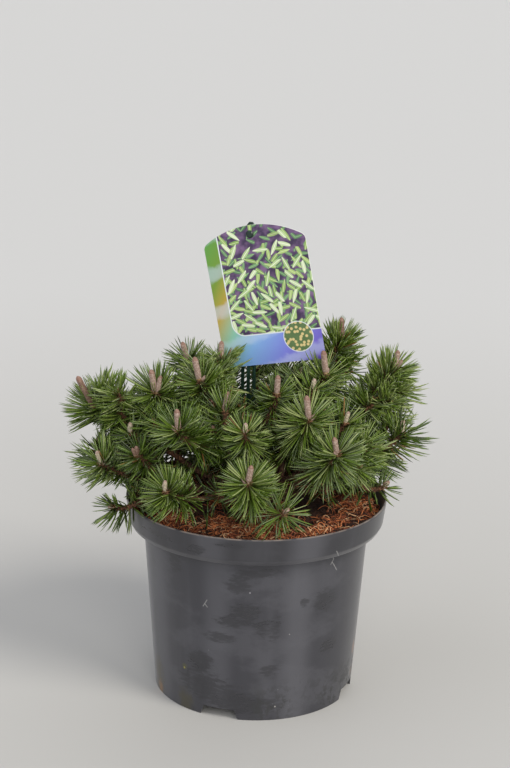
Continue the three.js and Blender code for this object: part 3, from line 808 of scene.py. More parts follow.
def planBough(foot, shoots):
    heads = [polar(*shoot[:3]) for shoot in shoots]
    middle = np.mean(heads, axis=0)
    away = polar(footTurn(math.degrees(math.atan2(middle[0], -middle[1]))), 1, 0)
    start = trunkRoute.place(foot - trunkFoot[2])[0]
    start = start + away * (trunkRadius(foot - bough["footRadius"] - trunkFoot[2]) + clearance)
    end = lerp(start, middle, bough["share"])
    end[2] = lerp(start[2], middle[2], bough["share"] * bough["sag"])
    bend = start + away * bough["out"] * np.linalg.norm(start - end)
    bend[2] += bough["rise"] * (end[2] - start[2])
    route = Route(start, bend, end)
    tip, tangent = route.place(route.length)
    stemStart = tip + tangent * clearance
    fork = lerp(stemStart, middle, bough["fork"])
    stem = Route(stemStart, stemStart + tangent * 0.5 * np.linalg.norm(stemStart - fork), fork)
    twigs = []
    for head, (_, _, _, bud, lean, notes) in zip(heads, shoots):
        heading = headingOf(head, notes.get("lift", crown["lift"]))
        heading = unit(heading + vec(0, -1, 0.2) * notes.get("forward", 0))
        budHeading = heading * budFollow + vec(0, 0, 1)
        if lean is not None:
            budHeading[0] = budHeading[2] * math.tan(math.radians(lean))
        budHeading = unit(budHeading)
        path = Route(fork, head - heading * 0.5 * np.linalg.norm(head - fork), head, budHeading)
        twigs.append({"path": path, "bud": bud, "head": head, "budHeading": budHeading, "notes": notes})
    return {"route": route, "stem": stem, "twigs": twigs}


boughs = {name: planBough(*plan) for name, *plan in allBoughs()}
allTwigs = [shoot for plan in boughs.values() for shoot in plan["twigs"]]
heads = np.array([shoot["head"] for shoot in allTwigs])
foliageNodes = [f"foliage_{name}" for name in boughs]
print("skeleton grown:", len(boughs), "boughs,", len(allTwigs), "shoots")


# what the needles keep clear of

label = {
    "foot": (-9.5, 21), "yaw": -18, "roll": -11.5, "width": 92, "sideHeight": 108, "arch": 14, "thickness": 1,
    "tip": 411, "tipAcross": -0.5, "tipAbove": 2, "cornerRadius": 3,
    "peg": {"drop": 10, "radius": 2.2, "head": 3.4, "reach": 3, "root": 1.5},
}
stake = {
    "width": 13, "thickness": 2.4, "ribs": 3, "ribDepth": 0.9, "shoulder": 7, "tipWidth": 3,
    "slot": 26, "bridge": 5,  # open and closed lengths between the ribs
}

pegHeight = label["tip"] - label["peg"]["drop"]
cardTilt = Matrix.Rotation(math.radians(label["roll"]), 4, "Y")
cardTop = label["sideHeight"] + label["arch"]
pegInCard = Vector((label["tipAcross"], 0, cardTop + label["tipAbove"]))
pegInCard += cardTilt.inverted() @ Vector((0, 0, -label["peg"]["drop"]))
stakeFrame = Matrix.Translation((*label["foot"], 0)) @ Matrix.Rotation(math.radians(label["yaw"]), 4, "Z")
cardFrame = stakeFrame @ Matrix.Translation((0, 0, pegHeight)) @ cardTilt @ Matrix.Translation(-pegInCard)

# where light shows through the crown: a point on each line of sight, and how wide it is open
openings = [
    ((-73, 0, 207), 6), ((-79, 0, 206.5), 4.5), ((-67, 0, 208), 4), ((-61.5, 0, 207), 4.5), ((-55, 0, 207), 4),
    ((-117.5, 0, 169.5), 4.5), ((-117, 0, 176.5), 3.6), ((-138.4, 0, 176), 4), ((-128, 0, 176.3), 4),
    ((-119, 0, 175), 4.5), ((14.1, 0, 216.1), 2.2), ((41.6, 0, 222), 2.4), ((86.6, 0, 291.2), 6),
    ((-69.3, 0, 151.5), 6.5), ((-62, 0, 151), 6.5), ((-75.4, 0, 151.5), 4), ((-51.7, 0, 152), 4.5),
    ((-113, 0, 272), 4), ((-145, 0, 230), 5), ((-11, 20, 278), 7.5), ((-10.5, 20, 271), 6.5),
]


def isOpen(points, margin):
    inOpening = np.zeros(len(points), bool)
    eye = np.array(cameraPlan["place"]) / mm
    away = points - eye
    for through, width in openings:
        line = unit(np.array(through, float) - eye)
        across = away - (away @ line)[:, None] * line
        inOpening |= np.linalg.norm(across, axis=1) < width + margin
    return inOpening


def inFrame(matrix, points):
    inverse = np.array(matrix.inverted())
    return (points @ inverse[:3, :3].T + inverse[:3, 3]).T


# true for each point that is clear of the pot, the soil, the label and the trunk
def isClear(points, margin):
    reach, height = np.hypot(points[:, 0], points[:, 1]), points[:, 2]
    clear = (height > pot["height"] + 0.5 + margin) | (reach > pot["collarRadius"] + 0.5 + margin)
    inside = pot["collarFootRadius"] - pot["wall"] - 0.5 - margin
    clear |= (reach < inside) & (height > soil["level"] + 2.5)
    x, y, z = inFrame(stakeFrame, points)
    atStake = (y > -margin - 1.5) & (y < stake["thickness"] + margin + 1) & (z < label["tip"])
    clear &= ~((np.abs(x) < stake["width"] / 2 + margin) & atStake)
    x, y, z = inFrame(cardFrame, points)
    atCard = (np.abs(y) < label["thickness"] / 2 + margin) & (z > -margin) & (z < cardTop + margin)
    clear &= ~((np.abs(x) < label["width"] / 2 + margin) & atCard)
    return clear & ((reach > trunk["radius"] + 0.5 + margin) | (height > trunkTop[2] + 3))


# bark: trunk, boughs and twigs

barkPlan = {"trunkSides": 56, "boughSides": 16, "twigSides": 9, "ringGap": 1.3}
# low pegs where needles once stood: share of the radius, height of a row, number in a row
pegs = {"depth": 0.28, "pitch": 2.6, "count": 5}


def barkRelief(seed, depth, grain):
    def relief(distance, turn):
        d, t = np.broadcast_arrays(distance, turn)
        out = np.empty(d.shape)
        for i in np.ndindex(d.shape):
            place = Vector((math.cos(t[i]) * 2.2, math.sin(t[i]) * 2.2, d[i] / grain + seed))
            out[i] = depth * (noise.noise(place * 2.3) + 1.6 * (abs(noise.noise(place)) - 0.25))
        return out
    return relief


# how far across its own peg or scale a place is, where every other row stands between two of the last
def acrossRows(rows, turn, count):
    return np.abs((turn * count / (2 * math.pi) + np.floor(rows) * 0.5) % 1 - 0.5) * 2


def pegRelief(distance, turn):
    rows = distance / pegs["pitch"]
    across = acrossRows(rows, turn, pegs["count"])
    return pegs["depth"] * np.clip(1 - across * 1.2, 0, 1) * (rows % 1)


def barkFinish(name, dark, light, scale):
    finish = Finish(name, light, 0.9)
    place = finish.place()
    flakes = finish.cells(finish.stretched(place, 0.55), scale)
    fine = finish.grain(place, scale * 3, 4, 0.6)
    base = finish.mix(finish.step(flakes, 0.1, 0.6), light, dark)
    base = finish.mix(finish.step(fine, 0.5, 0.75) * 0.5, base, "#8a7766")
    return finish.done(base, 0.75 + fine * 0.2, fine - flakes, 0.0006)


def ringsAlong(length, start):
    return np.linspace(start, length, max(4, int((length - start) / barkPlan["ringGap"]) + 1))


def makeTrunk():
    distances = ringsAlong(trunkRoute.length, -3.0)
    radii = [trunkRadius(d) for d in distances]
    radii[-1] *= 0.75
    body = limb(trunkRoute, distances, radii, barkPlan["trunkSides"], barkRelief(3, 0.16, 7))
    bark = barkFinish("trunkBark", "#33261d", "#6a5240", 240)
    addPiece(makeBody("trunk_bark", body, bark), "bark", "trunk")


def makeBoughs():
    parts = MeshParts()
    for index, plan in enumerate(boughs.values()):
        route = plan["route"]
        distances = ringsAlong(route.length, -1.5)
        radii = np.interp(distances, [0, 3, route.length], [4.2, bough["footRadius"], bough["tipRadius"]])
        parts.add(*limb(route, distances, radii, barkPlan["boughSides"], barkRelief(20 + index * 5, 0.15, 4)))
    bark = barkFinish("boughBark", "#4a3224", "#86614a", 420)
    addPiece(parts.make("boughs_bark", bark), "bough_bark", *[f"bough_{name}" for name in boughs])


makeTrunk()
makeBoughs()
print("bark made")


# shoots: finer twigs, buds and needles

needle = {
    "length": 33, "width": 1.34, "thickness": 0.78, "lowSweep": -20, "highSweep": 34, "twinAngle": 4, "curl": 0.12,
    "zone": 40,  # how far down a shoot its needles stand
    "pairs": 138,
    "crowding": 1.45,  # how much closer they stand towards the bud
    "sheath": (4.6, 1.3),  # length and width of the brown sleeve that holds a pair
    "strays": 0.14,  # the share of them that may cross the openings
    "perPiece": 11500,
    "seed": 31,
}
sideShoot = {
    "gap": 14, "shortest": 14, "longest": 30, "sweep": 38,
    "inside": 15, "apart": 16,  # the least room below the crown's outline, and between their ends
    "needles": {"pairs": 44, "length": 25},
    "seed": 57,
}
oldNeedles = {"gap": 1.9, "needles": {"length": 26, "lowSweep": 5, "highSweep": 40}, "seed": 71}
heart = {"top": 221, "reach": 97}
# radii at the start and the end of each kind of twig
twigRadii = {"shoot": (2.2, 1.8), "stem": (bough["tipRadius"], 2.3), "fill": (1.9, 1.4), "side": (1.5, 1.2)}

# finer shoots between the main ones: turn, reach, height, length of the needles, spray
fillShoots = [
    ("left_high", [(-96, 124, 252, 29, "dark"), (-90, 131, 261, 29, "leafy"), (-84, 121, 268, 28, "sunny"),
                   (-84, 118, 250, 26, "dark"), (-93, 138, 264, 28, "leafy")]),
    ("left_low", [(-70, 112, 186, 25, "dark")]),
    ("left_upper", [(-66, 96, 250, 26, "dark"), (-78, 100, 256, 28, "leafy")]),
    ("left_top", [(-66, 52, 262, 27, "leafy"), (-84, 50, 290, 26, "leafy"), (-78, 40, 286, 26, "misty")]),
    ("right_high", [(95, 122, 268, 28, "sunny"), (90, 112, 260, 28, "sunny"), (100, 116, 272, 28, "sunny"),
                    (96, 102, 268, 27, "sunny"), (88, 96, 258, 26, "leafy"), (99, 114, 248, 28, "leafy")]),
    ("right_low", [(93, 116, 242, 27, "leafy")]),
    ("right_upper", [(108, 84, 282, 27, "dark")]),
    ("front_right_low", [(54, 104, 222, 27, "leafy"), (62, 100, 230, 26, "leafy")]),
    ("right_low", [(66, 98, 236, 27, "leafy")]),
    ("front_right", [(30, 62, 248, 24, "dark")]),
]

# stems that hang over the rim and bear needles too
clothedStems = {"left_low": {"pairs": 110, "length": 27, "crowding": 1}}

# plain base colours, dealt out by spray
needleShades = {
    "needles_bright": "#9aa66a",
    "needles_fresh": "#76893e",
    "needles_green": "#5e7626",
    "needles_grey": "#768658",
    "needles_deep": "#415812",
    "needles_shade": "#2d3a06",
    "needles_dry": "#8c6537",
}
# for each kind of spray, how much of each shade it has; the dark and inner sprays, laid on shoots inside and low in
# the crown, are partly painted shade and partly older, dry needles
sprayMixes = {
    "sunny": (0.24, 0.36, 0.25, 0.10, 0.05, 0, 0),
    "leafy": (0.12, 0.28, 0.34, 0.14, 0.12, 0, 0),
    "misty": (0.10, 0.15, 0.25, 0.36, 0.14, 0, 0),
    "dark": (0.03, 0.10, 0.27, 0.18, 0.34, 0.08, 0),
    "inner": (0, 0.02, 0.12, 0.05, 0.33, 0.42, 0.06),
}

budPlan = {
    "radius": 2.6, "facets": (18, 34), "sideFacets": (12, 18), "scaleHeight": 2.3, "scales": 5, "twist": 2,
    "plainBelow": 10,  # shorter buds have no smaller ones beside them
}
# buds: the two colours of each material, and for each tone the materials of the foot, the scales and the tip
budColors = {
    "budFoot": ("#9c7f5b", "#bda37c"),
    "budScales": ("#8f766a", "#b6a094"),
    "budTip": ("#7f5f51", "#98796b"),
    "budPale": ("#a39580", "#c9bda6"),
    "budDark": ("#6f5547", "#8f7465"),
}
budTones = {"brown": (0, 1, 2), "pale": (0, 3, 1), "dark": (0, 4, 2)}

# how often the shoots have each kind of spray, high and low on the plant: the lighter sprays stand more often high
# up, which is painted light from above
kinds = ["sunny", "leafy", "misty", "dark"]
highShares, lowShares, highFrom = (0.34, 0.36, 0.2, 0.1), (0.22, 0.38, 0.25, 0.15), 240

needleRows = {name: [] for name in needleShades}
sheathRows = []
twigs, buds = MeshParts(), MeshParts()


# needles as closed blades: three rings of three points and a tip
def bladesOf(roots, headings, rounds, curls, lengths, widths):
    edges = np.cross(headings, rounds)
    rings = []
    for share, width in ((0, 0.62), (0.42, 1), (0.82, 0.8)):
        centre = roots + (headings * share + curls * share ** 2) * lengths[:, None]
        half = 0.5 * width * widths[:, None]
        thick = needle["thickness"] / needle["width"] * 2 * half
        rings += [centre + rounds * thick, centre + edges * half, centre - edges * half]
    rings.append(roots + (headings + curls) * lengths[:, None])
    faces = []
    for ring in (0, 3):
        for j in range(3):
            k = (j + 1) % 3
            faces += [(ring + j, ring + k, ring + 3 + k), (ring + j, ring + 3 + k, ring + 3 + j)]
    faces += [(6, 7, 9), (7, 8, 9), (8, 6, 9), (2, 1, 0)]
    starts = np.arange(len(roots))[:, None, None] * 10
    return np.stack(rings, 1).reshape(-1, 3), (np.array(faces)[None] + starts).reshape(-1, 3)


def spineOf(shoot):
    start, end = 0.35 * shoot["path"].length, shoot["path"].length + shoot["bud"]
    return shoot["path"].place(np.linspace(start, end, max(3, int((end - start) / 2.5))))[0]


spines = [spineOf(shoot) for shoot in allTwigs]
spinePoints = np.concatenate(spines)
spineOwners = np.repeat(np.arange(len(spines)), [len(spine) for spine in spines])


def nearest(points, spots):
    return np.linalg.norm(points[:, None] - spots[None], axis=2).min(1)


# how much of each needle has room: it keeps off what isn't foliage, and mostly to its own shoot's space
def roomFor(roots, headings, curls, lengths, owner, ownSpots):
    others = spinePoints[spineOwners != owner]
    keep = np.zeros(len(roots))
    stray = np.arange(len(roots)) * 0.618 % 1 < needle["strays"]
    for size in (1, 0.82, 0.66, 0.5):
        free = keep == 0
        if not free.any():
            break
        fits = np.ones(free.sum(), bool)
        for share in (0.35, 0.6, 0.8, 1):
            reach = (headings[free] * share + curls[free] * share ** 2) * (lengths[free] * size)[:, None]
            spots = roots[free] + reach
            fits &= isClear(spots, 0.8) & (stray[free] | ~isOpen(spots, 0))
        fits &= nearest(spots, ownSpots) < 1.2 * nearest(spots, others) + 5
        keep[np.flatnonzero(free)[fits]] = size
    return keep


# pairs of needles in a spiral along the last stretch of a shoot
def dressShoot(random, path, end, kind, owner=-1, **own):
    plan = {**needle, **own}
    zone, pairs = plan["zone"], plan["pairs"]
    k = np.arange(pairs)
    share = 1 - (1 - (k + 0.5 + random.uniform(-0.4, 0.4, pairs)) / pairs) ** plan["crowding"]
    places, tangents = path.place(end - zone * (1 - share))
    outward = outwardOf(tangents, k * goldenTurn + random.normal(0, 0.12, pairs))
    sweep = np.radians(lerp(plan["lowSweep"], plan["highSweep"], share ** 1.6) + random.normal(0, 7, pairs))
    headings = outward * np.cos(sweep)[:, None] + tangents * np.sin(sweep)[:, None]
    lengths = plan["length"] * random.uniform(0.84, 1.04, pairs) * (1 - 0.08 * share ** 3)
    apart = unit(np.cross(headings, tangents) + 0.5 * random.normal(0, 1, (pairs, 3)))
    apart = squareTo(headings, apart)
    curls = squareTo(headings, tangents) * (needle["curl"] * random.uniform(0.1, 1.7, pairs))[:, None]
    roots = places + outward * 1.2
    keep = roomFor(roots, headings, curls, lengths, owner, path.place(np.linspace(end - zone, end, 12))[0])
    kept = keep > 0
    sheath = np.tile(needle["sheath"], (kept.sum(), 1))
    sheathRows.append(((roots - outward)[kept], headings[kept], apart[kept], 0 * roots[kept], *sheath.T))
    twin = math.radians(needle["twinAngle"]) * random.uniform(0.4, 1.5, pairs)
    for side in (-1, 1):
        rounds = apart * side
        spread = unit(headings + rounds * np.tan(twin)[:, None])
        rounds = squareTo(spread, rounds)
        full = lengths * keep * random.uniform(0.94, 1.03, pairs)
        widths = needle["width"] * random.uniform(0.85, 1.12, pairs)
        columns = [column[kept] for column in (roots, spread, rounds, curls, full, widths)]
        mix = np.array(sprayMixes[kind])
        shades = random.choice(len(mix), kept.sum(), p=mix / sum(sprayMixes[kind]))
        for index, rows in enumerate(needleRows.values()):
            rows.append([column[shades == index] for column in columns])


def addTwig(path, start, end, kind):
    distances = ringsAlong(end, start)
    radii = np.interp(distances, [start, end], twigRadii[kind])
    twigs.add(*limb(path, distances, radii, barkPlan["twigSides"], pegRelief))


# a bud: a blunt cylinder of overlapping scales, in three materials
def addBud(foot, heading, length, radius, tone, facets=budPlan["facets"]):
    sides, rings = facets
    t = np.linspace(0, 1, rings)[:, None]
    turns = turnsOf(sides)
    blunt = 1 - min(0.34, 1.25 * radius / length)
    outline = np.interp(t, [0, 0.06, 0.25, blunt, lerp(blunt, 1, 0.5), lerp(blunt, 1, 0.85), 1],
                        [0.7, 0.86, 1, 0.96, 0.76, 0.4, 0.08])
    rows = t * length / budPlan["scaleHeight"] + turns / (2 * math.pi) * budPlan["twist"]
    across = acrossRows(rows, turns, budPlan["scales"])
    reach = radius * outline * (0.93 + 0.14 * (rows % 1) * (1 - 0.6 * across))
    points, quads, ends = tube(foot + heading * (t * length), heading[None], reach)
    height = (points[quads].mean(1) - foot) @ heading / length
    low, middle, top = budTones[tone]
    picks = np.select([height < 0.1, height > 0.86], [low, top], middle)
    buds.add(points, quads, ends, picks=(picks, np.repeat([low, top], sides)))


def makeShoots():
    random = np.random.default_rng(needle["seed"])
    for number, shoot in enumerate(allTwigs):
        path, bud, budHeading, notes = (shoot[key] for key in ("path", "bud", "budHeading", "notes"))
        addTwig(path, -1, path.length, "shoot")
        shares = highShares if shoot["head"][2] > highFrom else lowShares
        kind = kinds[random.choice(len(kinds), p=shares)]
        plan = {**needle, "mix": kind, "tone": "brown", "bare": 0, "sideBuds": [], "budShare": 1, **notes}
        zone = min(plan["zone"], 0.86 * path.length)
        plan.update(zone=zone, pairs=int(plan["pairs"] * (0.35 + 0.65 * zone / plan["zone"])))
        if "weak" in notes:
            plan.update(pairs=plan["pairs"] // 5, length=21)
            dressShoot(random, path, path.length + 0.5, "inner", number, **plan)
            continue
        dressShoot(random, path, path.length + 0.5 - plan["bare"], plan["mix"], number, **plan)
        foot = path.place(path.length - 0.5)[0]
        radius = budPlan["radius"] * min(1.05, 0.6 + bud / 45)
        addBud(foot, budHeading, (bud + 0.5) * plan["budShare"], radius, plan["tone"])
        small = plan["tone"], budPlan["sideFacets"]
        for aside, length, lean in plan["sideBuds"]:
            heading = unit(vec(math.tan(math.radians(lean)), -0.12, 1))
            addBud(foot + vec(aside * 0.55, -1, 0), heading, length, 1 + length * 0.085, *small)
        if bud < budPlan["plainBelow"] or plan["sideBuds"]:
            continue
        for _ in range(random.integers(0, 3)):
            side = outwardOf(budHeading[None], random.uniform(0, 2 * math.pi))[0]
            heading = unit(budHeading + side * random.uniform(0.25, 0.5))
            addBud(foot + side * 1.6, heading, random.uniform(4, 7), random.uniform(1.2, 1.6), *small)
    for plan in boughs.values():
        addTwig(plan["stem"], -0.5, plan["stem"].length + 1, "stem")


# a finer shoot, grown to its end from the nearest part of its bough
def addFillShoot(random, plan, turn, reach, height, length, kind):
    end = polar(turn, reach, height)
    runs = [(plan["stem"], 0.2, 1.0)] + [(shoot["path"], 0.0, 0.6) for shoot in plan["twigs"]]
    spots = [route.place(np.linspace(low, high, 9) * route.length)[0] for route, low, high in runs]
    spots = np.concatenate(spots)
    start = spots[np.argmin(np.linalg.norm(spots - end, axis=1))]
    heading = headingOf(end, crown["lift"] + 0.25)
    path = Route(start, end - heading * 0.5 * np.linalg.norm(end - start), end)
    addTwig(path, -1, path.length, "fill")
    zone = path.length * 0.95
    dressShoot(random, path, path.length + 0.5, kind, zone=zone, pairs=int(34 + 1.8 * zone), length=length)


def addFillShoots():
    random = np.random.default_rng(sideShoot["seed"] + 1)
    for name, shoots in fillShoots:
        for shoot in shoots:
            addFillShoot(random, boughs[name], *shoot)
    for name, needles in clothedStems.items():
        stem = boughs[name]["stem"]
        dressShoot(random, stem, stem.length, "leafy", zone=stem.length * 0.9, **needles)


# whether a side shoot has room: it stays inside the crown, off the bare heart, the openings and other shoots
def hasRoom(start, bend, end, heading, taken):
    spots = np.array([bend, end, end + heading * 12])
    passed = lerp(start, end, np.linspace(0.1, 1, 9)[:, None])
    if not isClear(spots, 3).all() or isOpen(np.concatenate([spots, passed]), 2).any():
        return False
    if nearest(end[None], taken)[0] < sideShoot["apart"] or inHeart(end):
        return False
    centre = vec(0, 0, crown["centreHeight"])
    closest = np.argmax(unit(heads - centre) @ unit(end - centre))
    return np.linalg.norm(heads[closest] - centre) - np.linalg.norm(end - centre) >= sideShoot["inside"]


# the crown is bare and dark low inside, where the boughs show
def inHeart(point):
    return point[2] < heart["top"] and math.hypot(point[0], point[1]) < heart["reach"]


# short side shoots up each bough, stem and shoot, by golden turns, where the crown has room for them
def addSideShoots():
    random = np.random.default_rng(sideShoot["seed"])
    taken = heads
    for plan in boughs.values():
        runs = [(plan["route"], 0.45, 1.0), (plan["stem"], 0.0, 1.0)]
        runs += [(shoot["path"], 0.05, 0.5) for shoot in plan["twigs"]]
        turn = random.uniform(0, 2 * math.pi)
        for route, low, high in runs:
            for along in np.arange(low * route.length + 3, high * route.length, sideShoot["gap"]):
                turn += goldenTurn
                start, tangent = route.place(along)
                outward = outwardOf(tangent[None], turn)[0]
                if outward[2] < -0.55:
                    continue
                sweep = math.radians(sideShoot["sweep"] + random.normal(0, 8))
                heading = unit(outward * math.cos(sweep) + tangent * math.sin(sweep) + vec(0, 0, 0.35))
                length = random.uniform(sideShoot["shortest"], sideShoot["longest"])
                bend = start + heading * length * 0.5
                end = start + heading * length + vec(0, 0, 0.12 * length)
                if not hasRoom(start, bend, end, heading, taken):
                    continue
                taken = np.vstack([taken, end])
                path = Route(start, bend, end)
                addTwig(path, 0, path.length, "side")
                kind = "dark" if random.random() < 0.45 else "inner"
                dressShoot(random, path, path.length + 0.5, kind, zone=path.length * 0.85, **sideShoot["needles"])
                foot, tip = path.place(path.length - 0.3)
                size = random.uniform(4, 8), random.uniform(1.3, 1.9)
                addBud(foot, tip, *size, "dark", budPlan["sideFacets"])
    print("side shoots:", len(taken) - len(heads))


# older needles, thinly set, down the bare stretches of the stems
def addOldNeedles():
    random = np.random.default_rng(oldNeedles["seed"])
    for plan in boughs.values():
        for route in [plan["stem"]] + [shoot["path"] for shoot in plan["twigs"]]:
            if not inHeart(route.place(route.length * 0.5)[0]):
                pairs = max(2, int(route.length / oldNeedles["gap"]))
                needles = {**oldNeedles["needles"], "zone": route.length, "pairs": pairs}
                dressShoot(random, route, route.length, "inner", **needles)


def makeNeedles():
    total = 0
    for name, color in needleShades.items():
        material = Finish(name, color, 0.34, **{"Specular IOR Level": 0.62}).material
        columns = [np.concatenate(column) for column in zip(*needleRows[name])]
        total += len(columns[0])
        batches = math.ceil(len(columns[0]) / needle["perPiece"])
        for batch in range(batches):
            blades = bladesOf(*[column[batch::batches] for column in columns])
            addPiece(makeBody(f"{name}_{batch + 1}", blades, material), "needles", *foliageNodes)
    sheaths = bladesOf(*[np.concatenate(column) for column in zip(*sheathRows)])
    brown = Finish("needle_sheaths", "#7a563c", 0.6).material
    addPiece(makeBody("needle_sheaths", sheaths, brown), "needles", *foliageNodes)
    print("needles:", total)


def budFinish(name, color, other):
    finish = Finish(name, color, 0.62)
    resin = finish.grain(finish.place(), 700)
    return finish.done(finish.mix(finish.step(resin, 0.4, 0.7), color, other), None, resin, 0.0002)


makeShoots()
addFillShoots()
addSideShoots()
addOldNeedles()
makeNeedles()
addPiece(twigs.make("twigs", barkFinish("shootBark", "#5a3826", "#94694b", 600)), "bough_bark", *foliageNodes)
budMaterials = [budFinish(name, *colors) for name, colors in budColors.items()]
addPiece(buds.make("buds", *budMaterials), "bough_bark", *foliageNodes)
print("foliage made")


# label

cardPlan = {
    "columns": 56,
    "rows": 60,
    "ground": ("#3a2c4c", "#7c6188"),
    # the picture's leaves, from the back to the front: cells a metre, shift, half length and half width
    # in metres, the heights where they thin out, and the colours of blade and rib
    "leaves": [
        (130, 0.3, (0.0066, 0.0016), (0.08, 0.118), ("#47704a", "#78a16e", "#98ba8e")),
        (112, 0.7, (0.0078, 0.0018), (0.066, 0.112), ("#7aa052", "#acc77a", "#d2e0ac")),
        (90, 0.1, (0.0084, 0.0019), (0.05, 0.1), ("#a8c684", "#d6e4bc", "#f2f6e6")),
    ],
    "side": 0.013,  # the band's width down the left and along the foot, and its inner corner
    "foot": 0.027,
    "corner": 0.011,
    "line": "#dfe6ea",
    "disc": (0.025, 0.0215, 0.0135),  # across, up, radius
    "band": [(0.0, "#4f9a48"), (0.2, "#739331"), (0.3, "#b49b40"), (0.42, "#8cc3ac"), (0.56, "#86b4ea"),
             (0.76, "#7f84e0"), (1.0, "#694cb4")],
}


# pointed leaves laid over a picture, one in each cell, turned at random
def scatterLeaves(finish, flat, picture, scale, shift, size, thins, colors):
    step, along, (length, width), (dark, light, pale) = finish.step, finish.along, size, colors
    moved = finish.vector("ADD", flat, (shift, shift * 0.6, 0))
    spot, chance = (finish.cells(moved, scale, output, "2D", 0.8) for output in ("Position", "Color"))
    away = finish.vector("SUBTRACT", moved, spot)
    x, y, turn = along(away, "X"), along(away, "Y"), along(chance, "X") * 6.283
    cosine, sine = finish.math("COSINE", turn), finish.math("SINE", turn)
    aside = finish.math("ABSOLUTE", y * cosine - x * sine)
    leaf = step((1 - ((x * cosine + y * sine) / length) ** 2) * width - aside, 0.0, 0.00025)
    # fewer leaves towards the top, where the ground shows
    crowd = 1 - step(along(flat, "Y"), *thins) * 0.5
    leaf = leaf * step(crowd - along(chance, "Z"), 0.0, 0.01)
    rib = 1 - step(aside, 0.00012, 0.00035)
    return finish.mix(leaf, picture, finish.mix(rib, finish.mix(along(chance, "Y"), dark, light), pale))


def cardFinish(name, printed):
    finish = Finish(name, "#5a4c78", 0.3)
    mix, step = finish.mix, finish.step
    place = finish.place()
    across, height = finish.along(place, "X"), finish.along(place, "Z")
    flat = finish.node("ShaderNodeCombineXYZ", None, {"X": across, "Y": height})
    cloud = finish.grain(flat, 95)
    if printed:
        picture = mix(step(cloud, 0.36, 0.68), *cardPlan["ground"])
        for plan in cardPlan["leaves"]:
            picture = scatterLeaves(finish, flat, picture, *plan)
    else:
        picture = mix(cloud, "#e3e6e0", "#eef0ec")
    # the band turns its corner round the picture, and its colours run down and then across
    half, tall, corner = label["width"] / 2 * mm, cardTop * mm, cardPlan["corner"]
    overX = finish.math("MAXIMUM", cardPlan["side"] + corner - half - across, 0.0)
    overZ = finish.math("MAXIMUM", cardPlan["foot"] + corner - height, 0.0)
    edge = corner - (overX ** 2 + overZ ** 2) ** 0.5
    run = (across + half) * (0.55 / (2 * half)) + (tall - height) * (0.45 / tall)
    sheen = finish.math("SINE", across * 60 - height * 190 + cloud * 2)
    band = finish.node("ShaderNodeValToRGB", {"stops": cardPlan["band"]}, {"Fac": run})
    band = mix(step(sheen, 0.1, 1.0) * 0.4, band, "#cfdcf6")
    art = mix(step(edge, 0.0, 0.0002), band, picture)
    line = step(edge, -0.0008, -0.0006) * (1 - step(edge, 0.0002, 0.0004))
    art = mix(line, art, cardPlan["line"])
    if printed:
        x, z, radius = cardPlan["disc"]
        away = ((across - x) ** 2 + (height - z) ** 2) ** 0.5
        petals = finish.cells(flat, 260, "Distance", "2D")
        disc = mix((1 - step(petals, 0.26, 0.4)) * 0.9, mix(cloud, "#46603a", "#6f8a58"), "#e6cf92")
        art = mix(1 - step(away, radius, radius + 0.0002), art, cardPlan["line"])
        art = mix(1 - step(away, radius - 0.0007, radius - 0.0005), art, disc)
    return finish.done(art, 0.26 + finish.grain(place, 60) * 0.12)


def metres(matrix):
    scaled = matrix.copy()
    scaled.translation = matrix.translation * mm
    return scaled


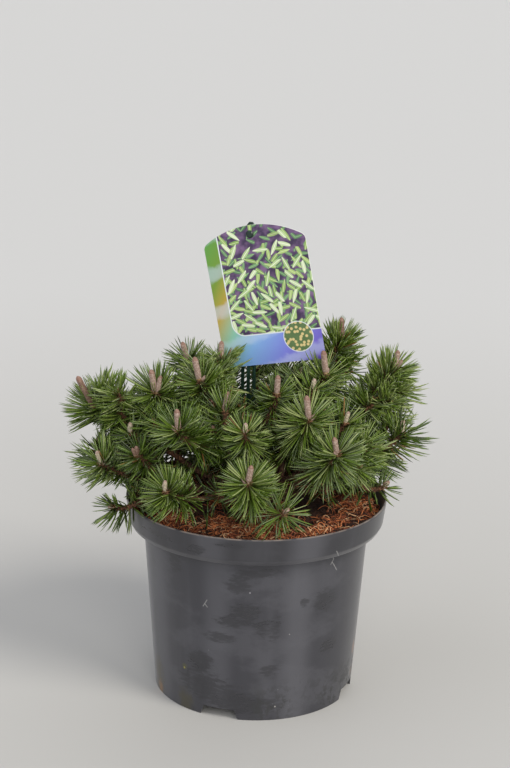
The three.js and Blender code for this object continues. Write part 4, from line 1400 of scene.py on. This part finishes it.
def makeCard():
    half, arch, corner = label["width"] / 2, label["arch"], label["cornerRadius"]
    radius = (half * half + arch ** 2) / (2 * arch)
    across = half * np.sin(np.linspace(-math.pi / 2, math.pi / 2, cardPlan["columns"]))
    inset = np.clip(np.abs(across) - (half - corner), 0, corner)
    cut = corner - np.sqrt(np.maximum(corner ** 2 - inset ** 2, 0))
    top = cardTop - radius + np.sqrt(radius ** 2 - across ** 2) - cut
    height = lerp(cut, top, np.linspace(0, 1, cardPlan["rows"])[:, None])
    sheets = [np.stack([across + 0 * height, side * label["thickness"] / 2 + 0 * height, height], -1)
              for side in (-1, 1)]
    index, size = np.arange(height.size).reshape(height.shape), height.size
    quads = np.stack([index[:-1, :-1], index[:-1, 1:], index[1:, 1:], index[1:, :-1]], -1).reshape(-1, 4)
    rim = np.concatenate([index[0, :-1], index[:-1, -1], index[-1, :0:-1], index[:0:-1, 0]])
    after = np.roll(rim, -1)
    edge = np.stack([after, rim, rim + size, after + size], -1)
    parts = MeshParts()
    parts.add(np.reshape(sheets, (-1, 3)), quads, quads[:, ::-1] + size, edge, picks=(0, 1, 1))
    card = parts.make("label_print", cardFinish("labelFront", True), cardFinish("labelBack", False), smooth=False)
    card.matrix_world = metres(cardFrame)
    addPiece(card, "label_card", "label_card")


def stakeFinish():
    finish = Finish("stakePlastic", "#1c362c", 0.28)
    scuffs = finish.grain(finish.stretched(finish.place(), 0.1), 300)
    base = finish.mix(finish.step(scuffs, 0.5, 0.8) * 0.6, "#162a22", "#34584b")
    return finish.done(base, 0.22 + scuffs * 0.2)


# the stake: three ribs with open slots between them, closed at foot and top, and the peg for the card
def makeStake():
    parts = MeshParts()
    half, pitch = stake["width"] / 2, stake["width"] / (2 * stake["ribs"] - 1)
    near = label["thickness"] / 2 + clearance
    far = near + stake["thickness"]
    foot, top, shoulder = soil["level"] - 2, label["tip"], label["tip"] - stake["shoulder"]
    for i in range(stake["ribs"]):
        left = -half + 2 * i * pitch
        addBlock(parts, (left, left + pitch), (near, far), (foot, shoulder))
    for i in range(stake["ribs"] - 1):
        left = -half + (2 * i + 1) * pitch
        across, behind = (left - 0.1, left + pitch + 0.1), (near + 0.1, far - stake["ribDepth"])
        for low in np.arange(foot, shoulder, stake["bridge"] + stake["slot"]):
            addBlock(parts, across, behind, (low, min(low + stake["bridge"], shoulder)))
    addBlock(parts, (-half, half), (near, far), (shoulder - 12, shoulder))
    addBlock(parts, (-half, half), (near, far), (shoulder, top), half - stake["tipWidth"] / 2)
    radius, head, reach, root = (label["peg"][key] for key in ("radius", "head", "reach", "root"))
    rings = turned([(radius, near + root), (radius, near - 1.55), (head, near - 1.6), (head, near - 2.0),
                    (head * 0.7, near - reach)], 20)
    parts.add(*skin(rings[..., [0, 2, 1]] + vec(0, 0, pegHeight)))
    body = parts.make("stake_body", stakeFinish(), smooth=False)
    body.matrix_world = metres(stakeFrame)
    bevel = body.modifiers.new("edges", "BEVEL")
    bevel.width, bevel.segments, bevel.limit_method = 0.25 * mm, 2, "ANGLE"
    applyModifiers(body)
    addPiece(body, "label_stake", "label_stake")


makeCard()
makeStake()
print("label made")
